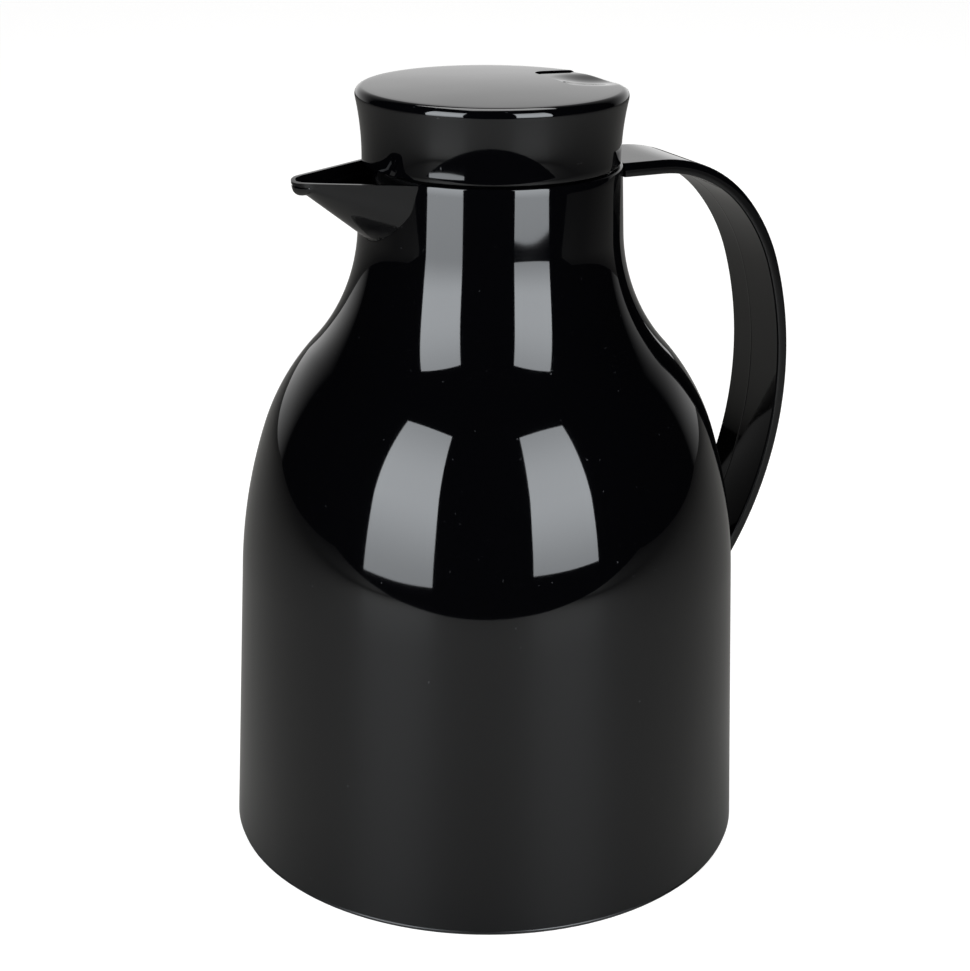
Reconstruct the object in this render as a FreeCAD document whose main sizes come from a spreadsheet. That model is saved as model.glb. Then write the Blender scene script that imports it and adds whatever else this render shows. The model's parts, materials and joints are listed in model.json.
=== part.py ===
import FreeCAD, Part
import math
import os
import Sketcher
from FreeCAD import Placement, Rotation, Vector

# Thermal jug: a bell-shaped plastic body with a V spout and a strap handle, a double-walled glass flask
# inside, and a screw-in lid whose thumb lever lifts a sprung valve.
# Millimetres. +Z up, origin at the centre of the standing ring, +X towards the handle, -X towards the spout.

SIZES = [
    # bell-shaped outer shell, from the neck down to the standing edge
    ("neck_radius", 41.5, "outer radius of the neck"),
    ("neck_length", 15.0, "upright length of the neck below the rim"),
    ("rim_height", 228.4, "height of the shell's rim"),
    ("neck_sweep", 73.2, "radius of the hollow curve below the neck"),
    ("shoulder_lean", 42.1, "steepest lean of the shoulder, degrees from upright"),
    ("shoulder_radius", 64.2, "radius of the round shoulder"),
    ("flank_lean", 17.9, "lean where the flank meets the shoulder, degrees"),
    ("flank_radius", 175.8, "radius of the long flank"),
    ("wall_draft", 2.69, "lean of the straight lower wall, degrees"),
    ("shell_wall", 2.4, "wall of the shell"),
    ("foot_line", 2.0, "height of the shell's lower edge"),
    ("neck_depth", 33.4, "underside of the ring inside the neck, below the rim"),
    ("ring_thickness", 2.5, "thickness of that ring"),
    ("seat_gap", 0.05, "gap between pieces that are fixed to each other"),
    ("soft_gap", 0.3, "gap beside a seal or another moving piece"),
    # pouring collar and spout
    ("collar_gap", 0.2, "gap between collar and neck"),
    ("collar_wall", 2.2, "wall and floor of the collar"),
    ("collar_drop", 1.9, "collar's top edge below the shell's rim"),
    ("collar_hole", 28.5, "radius of the hole in the collar's floor"),
    ("spout_drop", 0.9, "spout's rim below the shell's rim"),
    ("spout_root", 36.0, "distance of the spout's root section from the axis"),
    ("spout_root_width", 42.2, "width of the root section"),
    ("spout_root_depth", 25.0, "depth of the root section"),
    ("spout_nose", 4.2, "length of the spout from its lip section to its tip"),
    ("spout_lip_width", 14.2, "width of the lip section"),
    ("spout_lip_depth", 4.4, "depth of the lip section"),
    ("spout_reach", 66.6, "distance of the spout's tip from the axis"),
    ("spout_tip_depth", 3.4, "depth of the lip at the tip"),
    ("spout_wall", 1.9, "wall of the spout"),
    ("spout_gap", 0.15, "gap between the spout and the shell's cut-out"),
    # strap handle
    ("arm_drop", 1.1, "top of the handle's arm below the shell's rim"),
    ("arm_thickness", 4.3, "thickness of the strap at the arm"),
    ("grip_thickness", 3.2, "thickness of the strap at the grip"),
    ("strap_width", 28.0, "width of the strap"),
    ("arm_length", 54.2, "distance from the axis where the arm begins to bend"),
    ("arm_bend", 44.7, "first radius of the bend"),
    ("arm_bend_end", 48.0, "where the first radius ends, degrees from level"),
    ("grip_bend", 65.6, "second radius of the bend"),
    ("grip_bend_end", 72.0, "where the second radius ends, degrees from level"),
    ("landing_height", 76.5, "height where the strap's outer face meets the shell"),
    ("strap_bevel", 0.6, "bevel of the strap's long edges"),
    ("tongue_width", 20.0, "width of the tongues at the strap's two ends"),
    ("tongue_height", 2.4, "height of those tongues"),
    ("tongue_gap", 0.1, "gap round a tongue in its slot"),
    # screw-in base
    ("base_inset", 0.4, "base's edge inside the shell's lower edge"),
    ("base_seam", 0.25, "seam between shell and base"),
    ("base_chamfer", 0.8, "chamfer of the standing edge"),
    ("stand_ring", 11.0, "width of the ring that the jug stands on"),
    ("base_floor", 4.5, "underside of the base's floor"),
    ("base_plate", 2.5, "thickness of the base's floor"),
    ("base_spigot", 13.0, "top of the threaded wall"),
    ("base_wall", 2.6, "thickness of the threaded wall"),
    ("base_fit", 0.25, "gap between the threaded wall and the shell"),
    ("cup_height", 5.0, "height of the ring that holds the cushion"),
    ("rib_thickness", 2.0, "thickness of the base's ribs and cushion ring"),
    ("rib_height", 4.0, "height of the base's ribs"),
    ("rib_count", 8, "number of ribs"),
    ("grip_bar_length", 90.0, "length of the bar for turning the base"),
    ("grip_bar_width", 12.0, "width of that bar"),
    ("grip_bar_recess", 1.2, "bar's face above the standing plane"),
    # glass flask and what holds it
    ("cushion_radius", 38.0, "radius of the cushion under the flask"),
    ("cushion_height", 7.0, "thickness of the cushion"),
    ("tip_room", 9.0, "radius of the hole for the flask's sealed tip"),
    ("flask_clearance", 1.8, "flask's side inside the shell's flank"),
    ("flask_neck", 30.0, "outer radius of the flask's neck"),
    ("flask_neck_length", 15.0, "length of the flask's upright neck"),
    ("flask_neck_sweep", 15.8, "radius of the hollow curve below that neck"),
    ("flask_lean", 70.0, "steepest lean of the flask's shoulder, degrees"),
    ("flask_bottom_round", 24.0, "rounding of the flask's bottom edge"),
    ("outer_glass", 1.8, "thickness of the outer glass"),
    ("inner_glass", 1.7, "thickness of the inner glass"),
    ("vacuum_gap", 3.7, "gap between the two glass walls"),
    ("sealed_tip", 4.5, "length of the sealed tip under the flask"),
    ("spacer_radius", 5.0, "radius of the pads between the glass walls"),
    ("spacer_circle", 26.0, "distance of those pads from the axis"),
    ("spacer_count", 3, "number of those pads"),
    ("gasket_height", 4.0, "thickness of the gasket above the flask's lip"),
    ("gasket_skirt", 6.0, "length of the gasket's skirt round the lip"),
    ("gasket_width", 2.6, "thickness of the skirt"),
    # lid
    ("seam_gap", 0.7, "gap between rim and lid"),
    ("lid_inset", 0.7, "lid's lower edge inside the neck's outer face"),
    ("lid_wall", 2.2, "wall of the lid"),
    ("lid_skirt", 1.9, "upright band at the lid's lower edge"),
    ("lid_flare_height", 20.2, "height of the flared side above the lid's lower edge"),
    ("lid_flare_radius", 89.0, "radius of the flare"),
    ("lid_edge_radius", 2.5, "rounding of the lid's top edge"),
    ("lid_dome", 2.0, "slope of the domed top at its edge, degrees"),
    ("lid_ceiling", 20.1, "underside of the top above the lid's lower edge"),
    ("ledge_width", 1.8, "width of the ledge inside the lid"),
    # stopper
    ("stopper_gap", 0.9, "gap between stopper and collar"),
    ("stopper_wall", 2.4, "wall of the stopper"),
    ("stopper_floor", 2.2, "floor of the stopper"),
    ("stopper_flange", 2.2, "thickness of the flange under the lid"),
    ("seal_width", 3.2, "width of the stopper's seal"),
    ("seal_height", 4.2, "height of the stopper's seal"),
    ("seat_hole", 13.0, "radius of the valve's opening"),
    ("seat_lip_width", 2.2, "width of the valve's raised seat"),
    ("seat_lip_height", 1.2, "height of that seat"),
    ("window_count", 8, "number of pouring windows"),
    ("window_width", 14.0, "width of a pouring window"),
    ("window_height", 10.0, "height of a pouring window"),
    ("window_floor", 6.0, "window's lower edge above the seal"),
    ("cover_rise", 3.8, "underside of the cover above the windows"),
    ("cover_thickness", 2.2, "thickness of the cover"),
    ("bush_radius", 6.0, "outer radius of the stem's guide"),
    ("bush_height", 7.0, "top of the guide above the cover's underside"),
    ("stem_seal_radius", 4.5, "outer radius of the stem's seal"),
    ("stem_seal_height", 1.6, "height of the stem's seal"),
    # valve
    ("stem_radius", 2.5, "radius of the valve's stem"),
    ("run_gap", 0.06, "running gap of a shaft in its hole"),
    ("foot_radius", 8.0, "radius of the stem's foot"),
    ("foot_thickness", 1.6, "thickness of the stem's foot"),
    ("washer_thickness", 2.0, "thickness of the valve's washer"),
    ("washer_overlap", 3.5, "washer's edge outside the valve's opening"),
    ("disc_thickness", 2.2, "thickness of the valve's disc"),
    ("disc_overlap", 1.0, "disc's edge outside the washer"),
    ("hub_radius", 4.6, "radius of the disc's hub"),
    ("hub_height", 4.0, "height of the disc's hub"),
    ("nut_radius", 6.5, "radius of the nut on the stem"),
    ("nut_thickness", 1.8, "thickness of that nut"),
    ("wire_radius", 0.5, "radius of the spring's wire"),
    ("coil_radius", 6.3, "middle radius of the spring's coil"),
    ("coil_turns", 6, "turns of the spring"),
    # thumb lever
    ("lever_width", 35.0, "width of the lever's slot in the lid"),
    ("lever_start", 22.0, "slot's inner end, from the axis"),
    ("lever_corner", 5.0, "corner radius of that end"),
    ("lever_gap", 0.3, "gap round the lever"),
    ("lever_drop", 0.95, "lever's face below the lid's top"),
    ("lever_plate", 2.4, "thickness of the lever's pad"),
    ("dish_radius", 13.0, "radius of the finger dish"),
    ("dish_depth", 1.1, "depth of the finger dish"),
    ("notch_depth", 5.6, "depth of the slot in the lid's side below the pad's room"),
    ("pivot_reach", 17.0, "distance of the lever's pivot from the axis"),
    ("pin_radius", 1.5, "radius of the lever's pin"),
    ("lever_hub", 3.6, "radius of the lever's hub"),
    ("lever_hub_width", 24.0, "width of the lever's hub"),
    ("ear_thickness", 2.7, "thickness of the ears that hold the pin"),
    ("fork_width", 15.0, "width across the lever's fork"),
    ("fork_slot", 6.4, "width of the fork's slot"),
    ("nose_radius", 1.5, "radius of the fork's nose"),
    ("apron_height", 7.0, "height of the lever's inner apron"),
    ("apron_thickness", 2.0, "thickness of that apron"),
]


class Dim:
    """A size that carries its number and the sheet formula that gives it."""

    def __init__(self, value, text):
        self.value = float(value)
        self.text = text

    def __add__(self, other):
        other = dim(other)
        return Dim(self.value + other.value, f"({self.text} + {other.text})")

    def __sub__(self, other):
        other = dim(other)
        return Dim(self.value - other.value, f"({self.text} - {other.text})")

    def __mul__(self, other):
        other = dim(other)
        return Dim(self.value * other.value, f"{self.text} * {other.text}")

    def __truediv__(self, other):
        other = dim(other)
        return Dim(self.value / other.value, f"{self.text} / ({other.text})")

    def __neg__(self):
        return Dim(-self.value, f"(0 - {self.text})")


def dim(size):
    """A plain number as a Dim."""
    if isinstance(size, Dim):
        return size
    return Dim(size, str(size))


def sine(angle):
    return Dim(math.sin(math.radians(angle.value)), f"sin({angle.text} * 1 deg)")


def cosine(angle):
    return Dim(math.cos(math.radians(angle.value)), f"cos({angle.text} * 1 deg)")


def tangent(angle):
    return Dim(math.tan(math.radians(angle.value)), f"tan({angle.text} * 1 deg)")


def root(size):
    return Dim(math.sqrt(size.value), f"sqrt({size.text})")


class Sheet:
    """The document's spreadsheet: one cell and one alias for each size."""

    def __init__(self, document):
        cells = document.addObject("Spreadsheet::Sheet", "dims")
        for row, (alias, value, note) in enumerate(SIZES, start=1):
            cells.set(f"A{row}", note)
            cells.set(f"B{row}", str(value))
            cells.setAlias(f"B{row}", alias)
            setattr(self, alias, Dim(value, f"dims.{alias}"))
        document.recompute()


class Path:
    """A closed outline, drawn corner by corner with lines and arcs."""

    def __init__(self, x, y):
        self.corners = [(dim(x), dim(y))]
        self.runs = []

    def line(self, x, y):
        self.corners.append((dim(x), dim(y)))
        self.runs.append(None)
        return self

    def arc(self, x, y, radius, turn):
        """An arc to the next corner: turn 1 bends left along the way, -1 bends right."""
        self.corners.append((dim(x), dim(y)))
        self.runs.append((radius, turn))
        return self


class Circle:
    """A round outline."""

    def __init__(self, x, y, radius):
        self.centre = (dim(x), dim(y))
        self.radius = radius


doc = FreeCAD.newDocument("thermal_jug")
S = Sheet(doc)
PIECES = []


def piece(label):
    """A new body whose label names its file."""
    body = doc.addObject("PartDesign::Body", label)
    body.Label = label
    PIECES.append(body)
    return body


def fix(sketch, kind, size, *where):
    """A sketch constraint tied to the sheet."""
    index = sketch.addConstraint(Sketcher.Constraint(kind, *where, size.value))
    sketch.setExpression(f"Constraints[{index}]", size.text)


def place_point(sketch, edge, point, at):
    """Fixes one point of a sketch by its two coordinates."""
    for kind, axis, size in (("DistanceX", -2, at[0]), ("DistanceY", -1, at[1])):
        if abs(size.value) < 1e-9:
            sketch.addConstraint(Sketcher.Constraint("PointOnObject", edge, point, axis))
        else:
            fix(sketch, kind, size, edge, point)


def draw_circle(sketch, shape):
    centre = Vector(shape.centre[0].value, shape.centre[1].value, 0)
    edge = sketch.addGeometry(Part.Circle(centre, Vector(0, 0, 1), shape.radius.value))
    place_point(sketch, edge, 3, shape.centre)
    fix(sketch, "Radius", shape.radius, edge)


def draw_path(sketch, path):
    corners, runs = path.corners, path.runs
    # an outline that does not come back to its first corner is closed by a line
    if any(abs(a.value - b.value) > 1e-9 for a, b in zip(corners[0], corners[-1])):
        runs = runs + [None]
    count = len(runs)
    ends = []
    for i, bend in enumerate(runs):
        after = corners[(i + 1) % count]
        first = Vector(corners[i][0].value, corners[i][1].value, 0)
        last = Vector(after[0].value, after[1].value, 0)
        if bend is None:
            edge = sketch.addGeometry(Part.LineSegment(first, last))
            ends.append((edge, 1, 2))
            continue
        radius, turn = bend
        half = (last - first) * 0.5
        left = Vector(-half.y, half.x, 0).normalize()
        rise = math.sqrt(max(radius.value ** 2 - half.Length ** 2, 0.0))
        circle = Part.Circle(first + half + left * rise * turn, Vector(0, 0, 1), radius.value)
        if turn > 0:
            arc = Part.ArcOfCircle(circle, circle.parameter(first), circle.parameter(last))
            edge = sketch.addGeometry(arc)
            ends.append((edge, 1, 2))
        else:
            arc = Part.ArcOfCircle(circle, circle.parameter(last), circle.parameter(first))
            edge = sketch.addGeometry(arc)
            ends.append((edge, 2, 1))
        fix(sketch, "Radius", radius, edge)
    for i, (edge, start, stop) in enumerate(ends):
        before = ends[i - 1]
        sketch.addConstraint(Sketcher.Constraint("Coincident", before[0], before[2], edge, start))
        place_point(sketch, edge, start, corners[i])


def sketch_on(body, name, plane, shapes, offset=None):
    """A sketch on one of the body's own planes, moved along the plane's normal."""
    sketch = body.newObject("Sketcher::SketchObject", f"{body.Name}_{name}")
    base = [o for o in body.Origin.OriginFeatures if o.Role == plane][0]
    sketch.AttachmentSupport = (base, "")
    sketch.MapMode = "FlatFace"
    if offset is not None:
        sketch.AttachmentOffset = Placement(Vector(0, 0, offset.value), Rotation())
        sketch.setExpression("AttachmentOffset.Base.z", offset.text)
    for shape in shapes:
        if isinstance(shape, Circle):
            draw_circle(sketch, shape)
        else:
            draw_path(sketch, shape)
    return sketch


def finish_feature(body, feature, before, cut):
    """Recomputes and makes sure that the feature changed the body."""
    doc.recompute()
    after = body.Shape.Volume
    if (cut and after >= before - 1e-6) or (not cut and after <= before + 1e-6):
        raise RuntimeError(f"{feature.Name} changed nothing")
    return feature


def volume_of(body):
    return 0.0 if body.Tip is None or body.Shape.isNull() else body.Shape.Volume


def turn(body, name, path, cut=False):
    """A full turn about the vertical axis."""
    before = volume_of(body)
    sketch = sketch_on(body, f"{name}_sketch", "XZ_Plane", [path])
    kind = "PartDesign::Groove" if cut else "PartDesign::Revolution"
    feature = body.newObject(kind, f"{body.Name}_{name}")
    feature.Profile = sketch
    feature.ReferenceAxis = (sketch, ["V_Axis"])
    feature.Angle = 360
    return finish_feature(body, feature, before, cut)


def push(body, name, plane, shapes, length, offset=None, cut=False, middle=False):
    """A straight pad or pocket along its plane's normal: middle spreads it to both sides."""
    before = volume_of(body)
    sketch = sketch_on(body, f"{name}_sketch", plane, shapes, offset)
    kind = "PartDesign::Pocket" if cut else "PartDesign::Pad"
    feature = body.newObject(kind, f"{body.Name}_{name}")
    feature.Profile = sketch
    if middle:
        feature.SideType = "Symmetric"
    # a pocket runs against the normal unless it is reversed
    feature.Reversed = cut
    feature.Length = length.value
    feature.setExpression("Length", length.text)
    return finish_feature(body, feature, before, cut)


def loft(body, name, sections, cut=False):
    """A ruled loft through outlines on planes across the X axis."""
    before = volume_of(body)
    sketches = []
    for i, (distance, path) in enumerate(sections):
        sketches.append(sketch_on(body, f"{name}_section_{i}", "YZ_Plane", [path], distance))
    kind = "PartDesign::SubtractiveLoft" if cut else "PartDesign::AdditiveLoft"
    feature = body.newObject(kind, f"{body.Name}_{name}")
    feature.Profile = sketches[0]
    feature.Sections = sketches[1:]
    feature.Ruled = True
    return finish_feature(body, feature, before, cut)


def around(body, feature, count):
    """Repeats a feature evenly about the vertical axis."""
    pattern = body.newObject("PartDesign::PolarPattern", f"{feature.Name}_ring")
    pattern.Originals = [feature]
    axis = [o for o in body.Origin.OriginFeatures if o.Role == "Z_Axis"][0]
    pattern.Axis = (axis, [""])
    pattern.Angle = 360
    pattern.Occurrences = int(count.value)
    pattern.setExpression("Occurrences", count.text)
    body.Tip = pattern
    doc.recompute()
    return pattern


def box_path(x0, y0, x1, y1):
    return Path(x0, y0).line(x1, y0).line(x1, y1).line(x0, y1)


# Heights and radii that several pieces share

RIM = S.rim_height
NECK_START = RIM - S.neck_length
NECK_BORE = S.neck_radius - S.shell_wall
RING_BASE = RIM - S.neck_depth
RING_TOP = RING_BASE + S.ring_thickness
COLLAR_RADIUS = NECK_BORE - S.collar_gap
COLLAR_BORE = COLLAR_RADIUS - S.collar_wall
COLLAR_FLOOR = RING_TOP + S.collar_wall
SPOUT_TOP = RIM - S.spout_drop
SPOUT_LIP = S.spout_reach - S.spout_nose
LID_BASE = RIM + S.seam_gap
LID_RADIUS = S.neck_radius - S.lid_inset
LID_BORE = LID_RADIUS - S.lid_wall
LID_CEILING = LID_BASE + S.lid_ceiling
STOPPER_RADIUS = COLLAR_BORE - S.stopper_gap
SEAL_BASE = COLLAR_FLOOR + S.soft_gap
SEAL_TOP = SEAL_BASE + S.seal_height
SEAL_BORE = STOPPER_RADIUS - S.seal_width
STOPPER_BASE = SEAL_BASE + S.soft_gap
STOPPER_FLOOR = STOPPER_BASE + S.stopper_floor
STOPPER_BORE = STOPPER_RADIUS - S.stopper_wall
COVER_BASE = SEAL_TOP + S.window_floor + S.window_height + S.cover_rise
COVER_TOP = COVER_BASE + S.cover_thickness
FLANGE_BASE = LID_BASE + S.soft_gap
STOPPER_TOP = FLANGE_BASE + S.stopper_flange
WASHER_BASE = STOPPER_FLOOR + S.seat_lip_height + S.soft_gap
DISC_BASE = WASHER_BASE + S.washer_thickness
DISC_TOP = DISC_BASE + S.disc_thickness
PIVOT_HEIGHT = LID_BASE + S.lid_ceiling * 0.68
NUT_BASE = PIVOT_HEIGHT + S.nose_radius + S.soft_gap
STEM_TOP = NUT_BASE + S.nut_thickness


def bell(depth):
    """Tangent points of the shell's outline, moved into the wall by depth: neck, shoulder, flank, wall."""
    angles = (S.shoulder_lean, S.flank_lean, S.wall_draft)
    x = S.neck_radius + S.neck_sweep * (dim(1) - cosine(angles[0]))
    z = NECK_START - S.neck_sweep * sine(angles[0])
    points = [(S.neck_radius - depth, NECK_START)]
    points.append((x - depth * cosine(angles[0]), z - depth * sine(angles[0])))
    for radius, upper, lower in (
        (S.shoulder_radius, angles[0], angles[1]),
        (S.flank_radius, angles[1], angles[2]),
    ):
        x = x + radius * (cosine(lower) - cosine(upper))
        z = z - radius * (sine(upper) - sine(lower))
        points.append((x - depth * cosine(lower), z - depth * sine(lower)))
    return points


def wall_radius(height, depth):
    """Radius of the straight lower wall at a height, moved into the wall by depth."""
    x, z = bell(depth)[3]
    return x + (z - height) * tangent(S.wall_draft)


def neck_curve_radius(height, depth):
    """Radius of the hollow curve below the neck at a height, moved into the wall by depth."""
    rise = NECK_START - height
    reach = S.neck_sweep + depth
    return S.neck_radius + S.neck_sweep - root(reach * reach - rise * rise)


def follow_bell_up(path, depth):
    """Adds the shell's curve to an outline, from the straight wall up to the neck."""
    neck, shoulder, flank, wall = bell(depth)
    path.line(*wall)
    path.arc(*flank, S.flank_radius - depth, 1)
    path.arc(*shoulder, S.shoulder_radius - depth, 1)
    return path.arc(*neck, S.neck_sweep + depth, -1)


def follow_bell_down(path, depth):
    """The same curve from the neck down to the straight wall."""
    neck, shoulder, flank, wall = bell(depth)
    path.line(*neck)
    path.arc(*shoulder, S.neck_sweep + depth, 1)
    path.arc(*flank, S.shoulder_radius - depth, -1)
    return path.arc(*wall, S.flank_radius - depth, -1)


def spout_outline(width, depth, top, bottom_of):
    """Across the spout: upright sides, round corners and a shallow round floor."""
    half = width * 0.5
    sides = bottom_of - depth * 0.27
    floor = bottom_of - depth
    rise = sides - floor
    corner = rise * 0.6
    reach = half - corner
    base = (reach * reach + rise * rise - corner * corner) / ((rise - corner) * 2)
    share = base / (base - corner)
    tangent_y = reach * share
    tangent_z = floor + base - (floor + base - sides) * share
    path = Path(-half, top).line(-half, sides)
    path.arc(-tangent_y, tangent_z, corner, 1)
    path.arc(tangent_y, tangent_z, base, 1)
    path.arc(half, sides, corner, 1)
    return path.line(half, top)


def spout_tip():
    """Radius of the circle that touches both sides of the V and the tip, and the sides' sine and cosine."""
    slope = (S.spout_root_width - S.spout_lip_width) / ((SPOUT_LIP - S.spout_root) * 2)
    slant = root(slope * slope + 1)
    cosine_side = dim(1) / slant
    sine_side = slope / slant
    half = S.spout_lip_width * 0.5 - (S.spout_reach - SPOUT_LIP) * slope
    return half * cosine_side / (dim(1) - sine_side), sine_side, cosine_side


def spout_sections(grow, top, start, stop):
    """Sections along the spout, made larger by grow, from start to stop beyond its own length."""
    slope = (S.spout_root_width - S.spout_lip_width) / (SPOUT_LIP - S.spout_root)
    fall = (S.spout_root_depth - S.spout_lip_depth) / (SPOUT_LIP - S.spout_root)
    run = S.spout_reach - SPOUT_LIP
    tip_fall = (S.spout_lip_depth - S.spout_tip_depth) / run
    spread = grow * 2
    sections = []
    for at, depth in (
        (S.spout_root - start, S.spout_root_depth + start * fall),
        (SPOUT_LIP, S.spout_lip_depth),
        (S.spout_reach + stop, S.spout_tip_depth - stop * tip_fall),
    ):
        width = S.spout_lip_width + (SPOUT_LIP - at) * slope
        outline = spout_outline(width + spread, depth + grow, top, SPOUT_TOP)
        sections.append((-at, outline))
    return sections


def handle_curve(outer):
    """Corners and radii of one face of the strap, from the arm to past the landing on the shell."""
    mean = (S.arm_thickness + S.grip_thickness) * 0.5
    top = RIM - S.arm_drop
    first, second = S.arm_bend_end, S.grip_bend_end
    x1 = S.arm_length + S.arm_bend * sine(first)
    z1 = top - S.arm_bend * (dim(1) - cosine(first))
    x2 = x1 + S.grip_bend * (sine(second) - sine(first))
    z2 = z1 - S.grip_bend * (cosine(first) - cosine(second))
    land_x = wall_radius(S.landing_height, dim(0))
    dx, dz = x2 - land_x, z2 - S.landing_height
    sweep = (dx * dx + dz * dz) / ((dx * sine(second) + dz * cosine(second)) * 2)
    cx = x2 - sweep * sine(second)
    cz = z2 - sweep * cosine(second)
    # the strap runs on a little way along its curve, into the shell, and is trimmed there
    past = dim(5)
    across = (land_x - cx) * cosine(past) + (S.landing_height - cz) * sine(past)
    down = (S.landing_height - cz) * cosine(past) - (land_x - cx) * sine(past)
    end = (cx + across, cz + down)
    corners = [(S.arm_length, top), (x1, z1), (x2, z2), end]
    radii = [S.arm_bend, S.grip_bend, sweep]
    if outer:
        return corners, radii
    # the inner face has the same centres, moved so that the strap thins from the arm to the grip
    shift_x, shift_z = mean - S.grip_thickness, mean - S.arm_thickness
    levels = [(dim(0), dim(1)), (sine(first), cosine(first)), (sine(second), cosine(second))]
    levels.append((across / sweep, down / sweep))
    inner = []
    for (x, z), (nx, nz) in zip(corners, levels):
        inner.append((x + shift_x - mean * nx, z + shift_z - mean * nz))
    return inner, [radius - mean for radius in radii]


def make_body_shell():
    body = piece("body_shell")
    start = wall_radius(S.foot_line, dim(0))
    path = follow_bell_up(Path(start, S.foot_line), dim(0))
    path.line(S.neck_radius, RIM).line(NECK_BORE, RIM)
    follow_bell_down(path, S.shell_wall)
    path.line(wall_radius(S.foot_line, S.shell_wall), S.foot_line)
    turn(body, "wall", path)
    # cut-out that the spout comes through, open at the rim
    cut = spout_sections(S.spout_gap, RIM + S.collar_wall, S.spout_wall, S.spout_wall)
    loft(body, "spout_cut", cut, True)
    # slots for the two tongues of the handle
    half = S.tongue_width * 0.5 + S.tongue_gap
    for name, height, radius in handle_tongues():
        low = height - S.tongue_height * 0.5 - S.tongue_gap
        high = height + S.tongue_height * 0.5 + S.tongue_gap
        slot = box_path(-half, low, half, high)
        inside = radius - S.shell_wall * 3
        push(body, f"{name}_slot", "YZ_Plane", [slot], S.shell_wall * 5, inside, True)
    return body


def make_neck_ring():
    """Ring fixed inside the neck: the flask's gasket presses on it from below, the collar stands on it."""
    body = piece("neck_ring")
    bore = S.flask_neck - S.outer_glass - S.vacuum_gap
    low = neck_curve_radius(RING_BASE, S.shell_wall) - S.seat_gap
    high = neck_curve_radius(RING_TOP, S.shell_wall) - S.seat_gap
    path = Path(bore, RING_BASE).line(low, RING_BASE).line(high, RING_TOP).line(bore, RING_TOP)
    turn(body, "ring", path)
    return body


def handle_tongues():
    """Name, height and shell radius of the handle's upper and lower tongue."""
    upper = RIM - S.arm_drop - S.arm_thickness * 0.5
    lower = S.landing_height + S.grip_thickness * 0.8
    return (
        ("upper", upper, S.neck_radius),
        ("lower", lower, wall_radius(lower, dim(0))),
    )


def make_pour_collar():
    body = piece("pour_collar")
    top = RIM - S.collar_drop
    ring = Path(S.collar_hole, RING_TOP).line(COLLAR_RADIUS, RING_TOP).line(COLLAR_RADIUS, top)
    ring.line(COLLAR_BORE, top).line(COLLAR_BORE, COLLAR_FLOOR).line(S.collar_hole, COLLAR_FLOOR)
    turn(body, "ring", ring)
    loft(body, "spout", spout_sections(dim(0), SPOUT_TOP, dim(0), S.spout_wall))
    # the channel inside the spout stops short of the tip and leaves the pouring lip
    inside = -S.spout_wall
    loft(body, "channel", spout_sections(inside, RIM + S.collar_wall, S.spout_wall * 2, inside), True)
    turn(body, "bore", box_path(0, COLLAR_FLOOR, COLLAR_BORE, RIM + S.collar_wall), True)
    # tip rounded where the two sides of the V would meet, seen from above
    radius, sine_side, cosine_side = spout_tip()
    centre = radius - S.spout_reach
    x = centre - radius * sine_side
    y = radius * cosine_side
    far = -S.spout_reach - radius
    tip = Path(x, y).arc(x, -y, radius, 1).line(x, -radius * 2).line(far, -radius * 2)
    tip.line(far, radius * 2).line(x, radius * 2)
    push(body, "tip", "XY_Plane", [tip], RIM * 2, None, True, True)
    return body


def make_handle():
    body = piece("handle")
    outer, outer_radii = handle_curve(True)
    inner, inner_radii = handle_curve(False)
    start = S.neck_radius * 0.9
    path = Path(start, inner[0][1]).line(*inner[0])
    for corner, radius in zip(inner[1:], inner_radii):
        path.arc(*corner, radius, -1)
    path.line(*outer[3])
    for corner, radius in zip(reversed(outer[:3]), reversed(outer_radii)):
        path.arc(*corner, radius, 1)
    path.line(start, outer[0][1])
    push(body, "strap", "XZ_Plane", [path], S.strap_width, None, False, True)
    # both ends are trimmed to sit on the shell
    gap = -S.seat_gap
    trim = follow_bell_up(Path(0, 0).line(wall_radius(dim(0), gap), 0), gap)
    trim.line(S.neck_radius - gap, RIM * 1.1).line(0, RIM * 1.1)
    seats = turn(body, "seats", trim, True)
    # broken edges along both sides of the strap, but not across its ends
    side = S.strap_width.value * 0.5
    names = []
    for i, edge in enumerate(seats.Shape.Edges, start=1):
        level = max(abs(abs(point.y) - side) for point in edge.discretize(5))
        if level < 1e-4 and edge.Length > S.arm_thickness.value * 2:
            names.append(f"Edge{i}")
    bevel = body.newObject("PartDesign::Chamfer", "handle_bevel")
    bevel.Base = (seats, names)
    bevel.Size = S.strap_bevel.value
    bevel.setExpression("Size", S.strap_bevel.text)
    doc.recompute()
    half = S.tongue_width * 0.5
    for name, height, radius in handle_tongues():
        low = height - S.tongue_height * 0.5
        high = height + S.tongue_height * 0.5
        tongue = box_path(-half, low, half, high)
        inside = radius - S.shell_wall + S.tongue_gap * 5
        push(body, f"{name}_tongue", "YZ_Plane", [tongue], S.shell_wall, inside)
    return body


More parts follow.
